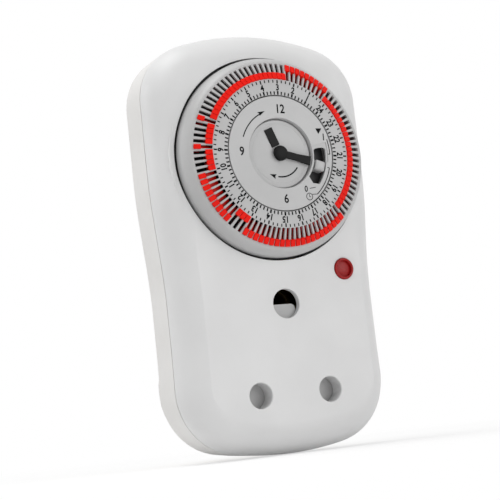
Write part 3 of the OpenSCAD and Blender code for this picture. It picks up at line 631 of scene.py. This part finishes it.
def rear_block(name, inset, start, radius, steps):
    """A solid with the rear's form, drawn in by inset, from start to its back.

    The outer solid has no inset, and starts with a small round at the seam.
    """
    end = shell_back - inset
    rings = [case_ring(start, inset)]
    if not inset:
        rings = [case_ring(start, seam_round), case_ring(start + seam_soft, seam_soft),
                 case_ring(start + seam_round, 0)]
    for i in range(steps + 1):
        turn = math.pi / 2 * i / steps
        y = end - radius * (1 - math.sin(turn))
        rings.append(case_ring(y, inset + radius * (1 - math.cos(turn)) + (y - seam) * rear_draft))
    return skin(name, rings)


# %% [markdown]
# The front cover carries the dial's round pocket, the three socket holes and the lamp's hole. The
# live and neutral holes run back as collars, so a plug pin is guided and the contact stays out of
# reach. The holes are cut by round bars, so their rims are true circles, and each rim is then broken
# by a small radius, as a moulded edge is.

# %% Name the front cover's sizes
front_draft = math.tan(math.radians(1))
rear_draft = math.tan(math.radians(1.5))
pocket_radius = 33.9 * mm
pocket_floor = front + 5 * mm
pocket_wall = 1.5 * mm
power_hole = 4.06 * mm
earth_hole = 4.76 * mm
collar_end = front + 5.7 * mm
collar_wall = 1.5 * mm
lens_low, lens_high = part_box("lamp_lens")
lamp_at = ((lens_low.x + lens_high.x) / 2, (lens_low.z + lens_high.z) / 2)
lamp_hole = 3.6 * mm
pocket_rim = 0.45 * mm
hole_rim = 0.4 * mm
lamp_rim = 0.15 * mm

# %% Model the front cover
front_cover = front_block("front_cover", 0, seam - seam_gap / 2, [0] + list(range(12, 91, 6)))
combine(front_cover, front_block("hollow", wall, seam + mm, range(0, 91, 15)))
pocket_ring = rod("pocket_ring", pocket_radius + pocket_wall, front + wall / 2, pocket_floor, (0, axis_z))
combine(front_cover, pocket_ring, "UNION")
combine(front_cover, rod("pocket", pocket_radius, front - mm, pocket_floor + mm, (0, axis_z), 160))
for x in (-pin_x, pin_x):
    collar = rod("collar", power_hole + collar_wall, front + wall / 2, collar_end, (x, 0))
    combine(front_cover, collar, "UNION")
    combine(front_cover, rod("hole", power_hole, front - mm, collar_end + mm, (x, 0)))
combine(front_cover, rod("hole", earth_hole, front - mm, front + 2 * wall, (0, earth_z)))
combine(front_cover, rod("hole", lamp_hole, front - mm, front + 2 * wall, lamp_at))
round_edges(front_cover, ring_test((0, axis_z), pocket_radius, front), pocket_rim)
for x in (-pin_x, pin_x):
    round_edges(front_cover, ring_test((x, 0), power_hole, front), hole_rim)
round_edges(front_cover, ring_test((0, earth_z), earth_hole, front), hole_rim)
round_edges(front_cover, ring_test(lamp_at, lamp_hole, front), lamp_rim)
smooth(front_cover)
front_cover.data.materials.append(front_plastic)
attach(front_cover, "case")
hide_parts("front_housing")
print("front cover:", len(front_cover.data.polygons), "faces")

# %% [markdown]
# The rear cover has a lip that slips inside the front one and shows as a thin dark line in the seam.
# Its plug base stands 8 mm proud round the pins, and four screws sit in round counterbores. The base
# is hollow too, so the pins go through its floor and the wall stays even.

# %% Name the rear cover's sizes
rear_radius = 3 * mm
shell_back = -base_height
lip_out = wall + 0.1 * mm
lip_in = wall + 1.2 * mm
lip_front = seam - 2 * mm
base_floor = 2.2 * mm
base_radius = 0.8 * mm
base_taper = 0.93
boss_radius = 3.3 * mm
bore_radius = 1.7 * mm
counterbore = 3.1 * mm
counterbore_depth = 4 * mm
counterbore_rim = 0.3 * mm
power_pin_hole = 4.025 * mm
earth_pin_hole = 4.85 * mm


# %% Round the corners of an outline
def corner(before, point, after, radius, steps=8):
    """The points of a rounded corner of an outline."""
    a, p, b = Vector(before), Vector(point), Vector(after)
    u, v = (a - p).normalized(), (b - p).normalized()
    half = u.angle(v) / 2
    centre = p + (u + v).normalized() * radius / math.sin(half)
    first = p + u * radius / math.tan(half) - centre
    last = p + v * radius / math.tan(half) - centre
    turn_by = first.angle_signed(last)
    start = math.atan2(first.y, first.x)
    return [(centre.x + radius * math.cos(start - turn_by * i / steps),
             centre.y + radius * math.sin(start - turn_by * i / steps)) for i in range(steps + 1)]


def rounded(points, radii):
    """An outline with rounded corners, in metres, from points and radii in millimetres."""
    count = len(points)
    outline = []
    for i in range(count):
        before, point, after = points[i - 1], points[i], points[(i + 1) % count]
        outline += corner(before, point, after, radii[i])
    return [(x * mm, z * mm) for x, z in outline]


# %% Model the rear cover
base_right = [(32.9, -13.1), (32.9, 9.5), (20, 24), (16, 43)]
base_points = base_right + [(-x, z) for x, z in reversed(base_right)]
base_radii = [17, 7, 8, 8, 8, 8, 7, 17]
rear_cover = rear_block("rear_cover", 0, seam + seam_gap / 2, rear_radius, 8)
combine(rear_cover, skin("lip", [case_ring(lip_front, lip_out), case_ring(seam + mm, lip_out)]), "UNION")
combine(rear_cover, skin("hollow", [case_ring(lip_front - mm, lip_in), case_ring(seam + 1.5 * mm, lip_in)]))
combine(rear_cover, rear_block("hollow", wall, seam + 1.4 * mm, rear_radius - mm, 3))
plug_base = slab("plug_base", rounded(base_points, base_radii), shell_back - mm, 0)
round_edges(plug_base, lambda co: abs(co.y) < 1e-6, base_radius)
combine(rear_cover, plug_base, "UNION")
inner_points = [(x * base_taper, z * base_taper + 0.8) for x, z in base_points]
combine(rear_cover, slab("hollow", rounded(inner_points, base_radii), shell_back - 1.5 * wall, -base_floor))
for number in range(1, 5):
    low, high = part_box(f"case_screw_{number}")
    at = ((low.x + high.x) / 2, (low.z + high.z) / 2)
    floor_y = 0 if at[1] < 20 * mm else shell_back
    combine(rear_cover, rod("boss", boss_radius, seam + 0.3 * mm, floor_y - mm, at, 48), "UNION")
    combine(rear_cover, rod("bore", bore_radius, seam - mm, mm, at, 48))
    combine(rear_cover, rod("counterbore", counterbore, floor_y - counterbore_depth, mm, at, 64))
    round_edges(rear_cover, ring_test(at, counterbore, floor_y), counterbore_rim)
pin_holes = [(-pin_x, 0, power_pin_hole), (pin_x, 0, power_pin_hole), (0, earth_z, earth_pin_hole)]
for x, z, radius in pin_holes:
    combine(rear_cover, rod("pin_hole", radius, -base_height - 1.5 * wall, mm, (x, z)))
smooth(rear_cover)
rear_cover.data.materials.append(rear_plastic)
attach(rear_cover, "case")
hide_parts("rear_housing")
print("rear cover:", len(rear_cover.data.polygons), "faces")

# %% [markdown]
# ## The dial
#
# The dial is a ring with a flat printed band, a slotted cone and a smooth rim. It repeats every
# quarter of an hour, so one sector of 3.75 degrees is modelled with its slot, and an array turns it
# into the whole ring. Cutting 96 slots one by one would be slow, and they would not be alike.

# %% Name the dial's sizes
quarters = 96
step = 360 / quarters
midnight = 48.3
cone_inner = 24.5 * mm
cone_outer = 30.5 * mm
cone_drop = 2.05 * mm
cone_angle = math.atan2(cone_drop, cone_outer - cone_inner)
cone_length = math.hypot(cone_drop, cone_outer - cone_inner)
slot_width = 1.1 * mm
slot_end = 0.1 * mm
slot_bevel = 0.12 * mm
ring_profile = [
    (19.1, 4.8), (19.1, 0.15), (19.18, 0.04), (19.3, 0), (24.42, 0), (24.58, 0.03),
    (30.4, 2.02), (30.62, 2.07), (31.0, 2.2), (31.45, 2.55), (31.95, 3.2), (32.35, 4.0),
    (32.7, 4.9), (32.93, 5.6), (33.0, 6.2), (33.0, 9.35), (31.6, 9.4), (31.6, 3.5), (30.7, 3.0),
    (24.8, 0.95), (20.2, 0.95), (20.2, 5.8), (6.0, 5.8), (6.0, 7.4), (4.05, 7.4), (4.05, 4.8)]
on_cone_face = (Matrix.Translation((cone_inner, dial_front, 0))
                @ Matrix.Rotation(cone_angle, 4, "Z") @ Matrix.Rotation(math.pi, 4, "X"))


def on_slot(quarter):
    """The place of a slot: X up the cone, Y out of it, Z across it, from the slot's inner end."""
    angle = midnight - step * (quarter + 0.5)
    around = Matrix.Rotation(math.radians(angle - 90), 4, "Y")
    return Matrix.Translation((0, 0, axis_z)) @ around @ on_cone_face


# %% Model one sector
sector = loop("dial_band", [(r * mm, dial_front + y * mm, 0) for r, y in ring_profile])
sector.data.transform(Matrix.Rotation(math.radians(step / 2), 4, "Y"))
edit(sector)
bpy.ops.mesh.select_all(action="SELECT")
bpy.ops.mesh.edge_face_add()
bpy.ops.mesh.spin(steps=4, angle=math.radians(step), center=(0, 0, 0), axis=(0, 1, 0))
done()
tidy_mesh(sector)
slot_across = (-slot_width / 2, slot_width / 2)
slot_tool = box("slot", (slot_end, cone_length - slot_end), (-8 * mm, 2 * mm), slot_across)
slot_tool.data.transform(on_cone_face)
combine(sector, slot_tool)
print("sector:", len(sector.data.polygons), "faces")


# %% Bevel the slot and array the sector
def on_cone(co):
    """True on the front of the slotted cone, within the slot's reach."""
    away = math.hypot(co.x, co.z)
    surface = dial_front + (away - cone_inner) * cone_drop / (cone_outer - cone_inner)
    return abs(co.y - surface) < slot_bevel and abs(co.z) < slot_width / 2 + 0.05 * mm


edit(sector)
half_step = math.radians(step / 2)
pick_faces(lambda centre, normal: abs(abs(math.atan2(centre.z, centre.x)) - half_step) < 1e-4)
bpy.ops.mesh.delete(type="ONLY_FACE")
pick_edges(on_cone)
bpy.ops.mesh.bevel(offset=slot_bevel, segments=2, profile=0.5, affect="EDGES", clamp_overlap=True)
done()
deselect()
bpy.ops.object.empty_add(rotation=(0, math.radians(step), 0))
turner = bpy.context.object
apply_modifier(sector, "ARRAY", use_relative_offset=False, use_object_offset=True, offset_object=turner,
               count=quarters, use_merge_vertices=True, merge_threshold=0.003 * mm)
bpy.data.objects.remove(turner)
sector.data.transform(Matrix.Translation((0, 0, axis_z))
                      @ Matrix.Rotation(math.radians(midnight - step / 2 - 90), 4, "Y"))
tidy_mesh(sector)
smooth(sector, 30)
sector.data.materials.append(dial_plastic)
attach(sector, "dial")
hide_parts("dial_ring")
print("dial band:", len(sector.data.polygons), "faces")

# %% [markdown]
# Each quarter of an hour has a red tappet. Its head slides on the cone, its blade hangs in the slot
# and a wider foot keeps it captive. Pushed in, the heads close into a red ring. Pulled out, they
# stand at the rim and switch the socket on. One tappet is modelled and copied to all 96 slots.

# %% Model a tappet
travel = 3.7 * mm
head_length = 2.3 * mm
head_width = 1.56 * mm
head_top = 0.55 * mm
head_gap = 0.05 * mm
head_bevel = 0.13 * mm
blade_width = 0.98 * mm
blade_depth = 4.7 * mm
foot_width = 1.3 * mm
foot_height = 0.9 * mm
tail_length = 3.2 * mm
tappet = box("tappet", (0, head_length), (head_gap, head_top), (-head_width / 2, head_width / 2))
edit(tappet)
pick_edges(lambda co: co.y > head_top - 0.01 * mm)
bpy.ops.mesh.bevel(offset=head_bevel, segments=3, profile=0.5, affect="EDGES")
done()
blade_across = (-blade_width / 2, blade_width / 2)
blade = box("blade", (0, head_length), (-blade_depth, 0.1 * mm), blade_across)
combine(tappet, blade, "UNION")
foot_low = -blade_depth - foot_height
foot_across = (-foot_width / 2, foot_width / 2)
foot = box("foot", (0, head_length), (foot_low, -blade_depth + 0.01 * mm), foot_across)
combine(tappet, foot, "UNION")
tail = box("tail", (-tail_length, 0.01 * mm), (-2.4 * mm, -1.25 * mm), blade_across)
edit(tail)
pick_edges(lambda co: co.x < -3 * mm)
bpy.ops.transform.translate(value=(0, -1.15 * mm, 0))
pick_edges(lambda co: co.x < -3 * mm and co.y < -3 * mm)
bpy.ops.transform.translate(value=(0, 0.35 * mm, 0))
done()
combine(tappet, tail, "UNION")
smooth(tappet, 40)
tappet.data.materials.append(tappet_red)

# %% Set the program
switched_on = ((0.25, 2.5), (7.5, 7.75), (8.75, 9.0), (10, 12.25), (13, 18.25))


def pulled_out(quarter):
    """True for the quarters of an hour that the program switches on."""
    hour = (quarter + 0.5) / 4
    return any(first < hour < last for first, last in switched_on)


def place_tappet(quarter):
    """A copy of the tappet in its slot, pushed in or pulled out."""
    piece = tappet.copy()
    piece.data = tappet.data.copy()
    bpy.context.collection.objects.link(piece)
    out = travel if pulled_out(quarter) else 0
    piece.data.transform(on_slot(quarter) @ Matrix.Translation((slot_end + head_gap + out, 0, 0)))
    return piece


def join(name, pieces):
    """Joins pieces into the first one."""
    only(pieces[0])
    for piece in pieces:
        piece.select_set(True)
    bpy.ops.object.join()
    pieces[0].name = name
    return pieces[0]


# %% Fill the slots
first_own, last_own = 28, 39
own = {quarter: f"tappet_{quarter // 4:02d}{quarter % 4 * 15:02d}"
       for quarter in range(first_own, last_own + 1)}
for quarter, node in own.items():
    piece = place_tappet(quarter)
    piece.name = "slider_" + node[-4:]
    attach(piece, node)
    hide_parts(node)
for node, out in (("tappets_on", True), ("tappets_off", False)):
    pieces = [place_tappet(q) for q in range(quarters) if q not in own and pulled_out(q) == out]
    group = join("sliders_" + node[8:], pieces)
    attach(group, "dial")
    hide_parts(node)
bpy.data.objects.remove(tappet)
print("tappets placed:", quarters)

# %% [markdown]
# ## The clock face
#
# The face is a fixed disc inside the dial. It has a round well for the hour disc and a curved window
# for the override knob, with a shallow frame pressed round the window's upper end. Its profile is spun
# round the axis, and the window is cut by a solid that has the window's outline.

# %% Model the face
knob_angle = 107.8
knob_radius = 14.5 * mm


def face_arc(radius, first, last, steps=16):
    """Points at clock angles about the dial's axis."""
    spots = [heading(first + (last - first) * i / steps, radius * mm) for i in range(steps + 1)]
    return [(spot.x, spot.z + axis_z) for spot in spots]


def face_point(angle, radius):
    """One point of an outline on the face."""
    return face_arc(radius, angle, angle, 1)[0]


def strip(inner, outer, first, last, steps=16):
    """A curved band between two radii and two clock angles."""
    return face_arc(outer, first, last, steps) + face_arc(inner, last, first, steps)


face_profile = [
    (3.0, 2.6), (11.4, 2.6), (11.6, 2.4), (11.6, 0.3), (11.66, 0.1), (11.85, 0), (18.6, 0), (18.85, 0.08),
    (18.95, 0.3), (18.95, 2.0), (18.15, 2.0), (18.15, 1.0), (12.1, 1.0), (12.1, 3.4), (3.0, 3.4)]
face = lathe("clock_disc", face_profile, dial_front, (0, axis_z), 192)
frame_tool = slab("window_frame", strip(11.75, 17.35, 78.5, 101), dial_front - mm, dial_front + 0.3 * mm)
combine(face, frame_tool)
window_inner = 12.2
window_outer = 16.7
window_tip = (134.1, 14.6)
window_end = [(88, 12.2), (86, 12.3), (84.5, 12.7), (83.6, 13.4), (83.4, 14.4),
              (83.6, 15.4), (84.4, 16.2), (85.6, 16.6), (87, 16.7)]
window_outline = (face_arc(window_outer, 88, 129.1, 22) + [face_point(*window_tip)]
                  + face_arc(window_inner, 130.6, 89, 22) + [face_point(*spot) for spot in window_end])
window_tool = slab("window", window_outline, dial_front - mm, dial_front + 3 * mm)
combine(face, window_tool)
smooth(face)
face.data.materials.append(face_plastic)
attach(face, "case")
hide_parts("clock_face")

# %% Model the turning disc
disc_low, disc_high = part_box("hour_disc")
disc_radius = (disc_high.x - disc_low.x) / 2
disc_front = disc_low.y
disc_profile = [
    (1.2, 0), (9.6, 0), (9.7, 0.05), (9.85, 0.05), (9.95, 0), (disc_radius / mm - 0.2, 0),
    (disc_radius / mm, 0.2), (disc_radius / mm, 0.8), (1.2, 0.8)]
disc = lathe("turning_disc", disc_profile, disc_front, (0, axis_z), 160)
smooth(disc)
disc.data.materials.append(face_plastic)
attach(disc, "hour")
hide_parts("hour_disc")
print("face and disc:", len(face.data.polygons), len(disc.data.polygons), "faces")

# %% [markdown]
# The hour hand is a plain black bar on the turning disc. The minute hand has a domed hub and a blade
# that widens to a square end. Both are extruded from their outlines and softened with a bevel.

# %% Model the hour hand
hour_angle = -22
minute_angle = 104.5


def hand_outline(angle, points):
    """An outline given as (along, across) in millimetres from the axis, turned to a clock angle."""
    along, across = heading(angle), heading(angle + 90)
    spots = [along * a * mm + across * c * mm for a, c in points]
    return [(spot.x, spot.z + axis_z) for spot in spots]


bar_outline = hand_outline(hour_angle, [(2.7, -1.52), (8.9, -1.52), (8.9, 1.52), (2.7, 1.52)])
hour_hand = slab("bar_hand", bar_outline, disc_front - 0.35 * mm, disc_front - 0.01 * mm)
round_edges(hour_hand, lambda co: co.y < disc_front - 0.3 * mm, 0.1 * mm, 2)
smooth(hour_hand)
hour_hand.data.materials.append(hand_black)
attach(hour_hand, "hour")
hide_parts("hour_hand")

# %% Model the minute hand
blade_outline = hand_outline(minute_angle, [(0, -1.15), (3, -1.15), (6, -1.15), (10.9, -1.5), (10.9, 1.5),
                                            (6, 1.15), (3, 1.15), (0, 1.15)])
minute_hand = slab("flared_hand", blade_outline, dial_front + 0.05 * mm, dial_front + 0.8 * mm)
round_edges(minute_hand, lambda co: co.y < dial_front + 0.1 * mm, 0.2 * mm, 3)
hub_profile = [(0, -0.45), (1.2, -0.42), (1.9, -0.3), (2.35, -0.05), (2.5, 0.3), (2.5, 0.9), (0, 0.9)]
hub = lathe("hub", hub_profile, dial_front, (0, axis_z), 96)
combine(minute_hand, hub, "UNION")
smooth(minute_hand)
minute_hand.data.materials.append(hand_black)
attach(minute_hand, "minute")
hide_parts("minute_hand")
print("hands:", len(hour_hand.data.polygons), len(minute_hand.data.polygons), "faces")

# %% [markdown]
# The override knob is a small square peg with a raised top and soft edges. It stands on an arm
# behind the window, which carries it round the clock's centre.

# %% Model the knob
knob_bevel = 0.5 * mm
knob_rise = 0.55 * mm
knob_centre = heading(knob_angle, knob_radius) + Vector((0, 0, axis_z))
knob = box("knob_cap", (-1.7 * mm, 1.7 * mm), (dial_front - 0.2 * mm, dial_front + 3.5 * mm),
           (-1.65 * mm, 1.65 * mm))
edit(knob)
pick_faces(lambda centre, normal: normal.y < -0.9)
bpy.ops.mesh.inset(thickness=knob_rise)
bpy.ops.transform.translate(value=(0, -knob_rise, 0))
done()
apply_modifier(knob, "BEVEL", width=knob_bevel, segments=5, limit_method="ANGLE",
               angle_limit=math.radians(20))
knob_turn = Matrix.Rotation(math.radians(knob_angle - 90), 4, "Y")
knob.data.transform(Matrix.Translation(knob_centre) @ knob_turn)
smooth(knob, 50)
knob.data.materials.append(dial_plastic)
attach(knob, "override")
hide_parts("override_knob")

# %% [markdown]
# ## The lamp
#
# The lamp's lens is a short red tube with a rounded rim and a thin disc set back inside it. A flange
# behind the cover keeps it in its hole. It is round all through, so one spun profile makes it.

# %% Model the lens
lens_profile = [
    (0, 0.06), (1.1, 0.11), (2.0, 0.22), (2.5, 0.34), (2.66, 0.36), (2.68, -0.3), (2.74, -0.46),
    (2.88, -0.57), (3.1, -0.6), (3.3, -0.56), (3.46, -0.42), (3.54, -0.2), (3.54, 2.0), (4.5, 2.0),
    (4.5, 3.0), (2.8, 3.0), (2.8, 4.95), (1.95, 4.95), (1.95, 1.7), (2.5, 0.75), (0, 0.75)]
lens = lathe("lens", lens_profile, front, lamp_at, 96)
smooth(lens, 40)
lens.data.materials.append(lamp_red)
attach(lens, "case")
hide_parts("lamp_lens")

# %% [markdown]
# ## The shutter
#
# A grey shutter stands behind the socket's holes. Two flags close the live and neutral holes. The
# earth pin of a plug meets the ramp behind its own hole first and turns the flags away. The frame
# has its full shape, so a copy of that node is merged and its sharp edges are bevelled.

# %% Soften the shutter's edges
shutter = nodes["shutter"].copy()
shutter.data = nodes["shutter"].data.copy()
shutter.name = "moulded_shutter"
bpy.context.collection.objects.link(shutter)
tidy_mesh(shutter)
apply_modifier(shutter, "BEVEL", width=0.25 * mm, segments=3, limit_method="ANGLE",
               angle_limit=math.radians(40))
smooth(shutter, 40)
shutter.data.materials.clear()
shutter.data.materials.append(shutter_grey)
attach(shutter, "shutter")
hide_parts("shutter")

# %% [markdown]
# ## The printing
#
# Numbers, marks and arrows are printed in black ink. Each is a thin raised film, so it is real
# geometry: text is turned into mesh, and the marks are extruded from their outlines. A picture on
# the surface could carry them too, but a film stays sharp in a close view.

# %% Make numbers and marks
ink = 0.02 * mm
raw_depth = 0.004
letter_width = 0.86


def numeral(text, height, radius, angle, facing, surface, bold=0.02):
    """A number as a thin film, centred at a clock angle, with its top facing another."""
    deselect()
    bpy.ops.object.text_add()
    piece = bpy.context.object
    piece.data.body = text
    piece.data.align_x = "CENTER"
    piece.data.align_y = "CENTER"
    piece.data.resolution_u = 3
    piece.data.offset = bold
    piece.data.extrude = raw_depth
    bpy.ops.object.convert(target="MESH")
    top = max(v.co.y for v in piece.data.vertices)
    bottom = min(v.co.y for v in piece.data.vertices)
    middle = (top + bottom) / 2
    grow = height / (top - bottom)
    spot = heading(angle, radius) + Vector((0, surface, axis_z))
    upright = Matrix.Rotation(math.pi / 2, 4, "X")
    turned = Matrix.Rotation(math.radians(facing), 4, "Y")
    sized = Matrix.Diagonal((grow * letter_width, grow, ink / raw_depth, 1))
    piece.data.transform(Matrix.Translation(spot) @ turned @ upright @ sized
                         @ Matrix.Translation((0, -middle, 0)))
    return piece


def film(outline, surface):
    """An outline printed as a thin film."""
    return slab("film", outline, surface - ink, surface + 0.1 * ink)


def printed_ring(radius, width, at):
    """A thin circle of ink, with its outer radius and its width in millimetres."""
    inner, raised = radius - width, -ink / mm
    profile = [(inner, raised), (radius, raised), (radius, 0), (inner, 0)]
    return lathe("film", profile, dial_front, at, 96)


def mark(width, inner, outer, angle, surface):
    """A short radial line."""
    return film(hand_outline(angle, [(inner, -width / 2), (outer, -width / 2),
                                     (outer, width / 2), (inner, width / 2)]), surface)


def printed(name, pieces, body):
    """Joins printed films into one piece that moves with a body."""
    piece = join(name, pieces)
    piece.data.materials.clear()
    piece.data.materials.append(print_ink)
    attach(piece, body)
    return piece


# %% Print the dial
marks = []
for hour in range(1, 25):
    angle = midnight - 15 * hour
    marks.append(numeral(str(hour), 2.2 * mm, 21.85 * mm, angle, angle, dial_front, 0.036))
for quarter in range(quarters):
    angle = midnight - step * quarter
    on_hour = quarter % 4 == 0
    marks.append(mark(0.62 if on_hour else 0.46, 19.35, 20.6 if on_hour else 20.45, angle, dial_front))
    marks.append(mark(0.5 if on_hour else 0.38, 23.1 if on_hour else 23.35, 24.3, angle, dial_front))
marks.append(printed_ring(19.24, 0.16, (0, axis_z)))
printed("dial_printing", marks, "dial")

# %% Print the face and the disc
face_turn = 2.3


def line(start, end, width):
    """A printed line between two points, given as (across, up) in millimetres from the dial's axis."""
    a, b = Vector(start), Vector(end)
    side = (b - a).normalized().orthogonal() * width / 2
    corners = (a + side, a - side, b - side, b + side)
    return film([(p.x * mm, p.y * mm + axis_z) for p in corners], dial_front)


def polar(radius, angle):
    """The (across, up) point in millimetres at a radius and a clock angle."""
    spot = heading(angle, radius)
    return (spot.x, spot.z)


sign_at = polar(16.9, 149.6)
face_marks = [
    numeral("12", 3.0 * mm, 14.7 * mm, 4.8, face_turn, dial_front),
    numeral("9", 3.0 * mm, 14.3 * mm, -87.1, face_turn, dial_front),
    numeral("6", 3.0 * mm, 15.0 * mm, -179.7, face_turn, dial_front),
    numeral("1", 2.3 * mm, 17.15 * mm, 72.5, face_turn, dial_front),
    numeral("0", 2.1 * mm, 14.2 * mm, 147.6, face_turn, dial_front),
    film(strip(14.12, 14.48, -68, -26, 20), dial_front),
    film(hand_outline(-20, [(15.1, -2.2), (14.5, 0.6), (13.7, -1.9), (14.3, -1.7)]), dial_front),
    film(hand_outline(63.3, [(15.8, -1.05), (17.9, 0), (15.8, 1.05)]), dial_front),
    film(strip(17.9, 18.2, 76, 92), dial_front),
    mark(0.28, 17.3, 18.1, 92, dial_front),
    film(strip(17.9, 18.2, 107, 140), dial_front),
    mark(0.28, 17.3, 18.1, 107, dial_front),
    line(polar(14.9, 143), polar(16.1, 136), 0.22),
    line(sign_at, (sign_at[0], sign_at[1] + 0.85), 0.18),
    line(sign_at, (sign_at[0] + 0.6, sign_at[1] - 0.2), 0.18),
    line((sign_at[0] + 1.1, sign_at[1] + 0.7), polar(18.05, 140), 0.2),
    printed_ring(1.24, 0.22, (sign_at[0] * mm, sign_at[1] * mm + axis_z))]
printed("face_printing", face_marks, "case")

disc_marks = [
    film(strip(7.4, 7.85, 127, 190, 24), disc_front),
    film(hand_outline(205, [(8.5, -1.3), (7.85, 1.1), (6.9, -1.2), (7.6, -0.9)]), disc_front)]
printed("disc_printing", disc_marks, "hour")
print("printed marks:", len(marks) + len(face_marks) + len(disc_marks))

# %% [markdown]
# ## Nodes that keep their shape
#
# The inner mechanism, the contacts, the screws and the pins are right as they come from the frame.
# They only need their finishes, and soft shading up to an angle.

# %% Give every other node its finish
finishes = {
    "case_front": front_plastic, "case_rear": rear_plastic, "dial_plastic": dial_plastic,
    "tappet_red": tappet_red, "hand_black": hand_black, "frame_black": frame_black,
    "gear_white": acetal, "shutter_grey": shutter_grey, "lamp_red": lamp_red,
    "bulb_glass": bulb_glass, "resistor_body": resistor_body, "brass": rolled_brass,
    "steel": bright_steel}
turned_nodes = {"live_pin", "neutral_pin", "earth_pin", "center_bush"}
contact_nodes = {"live_contact", "neutral_contact", "earth_contact"}
for row in frame["record"]["subparts"]:
    node = nodes[row["node"]]
    node.data.materials.clear()
    chosen = finishes[row["material_slot"]]
    if row["node"] in turned_nodes:
        chosen = turned_brass
    if row["node"] in contact_nodes:
        chosen = socket_brass
    node.data.materials.append(chosen)
    only(node)
    bpy.ops.object.shade_smooth_by_angle(angle=math.radians(28))
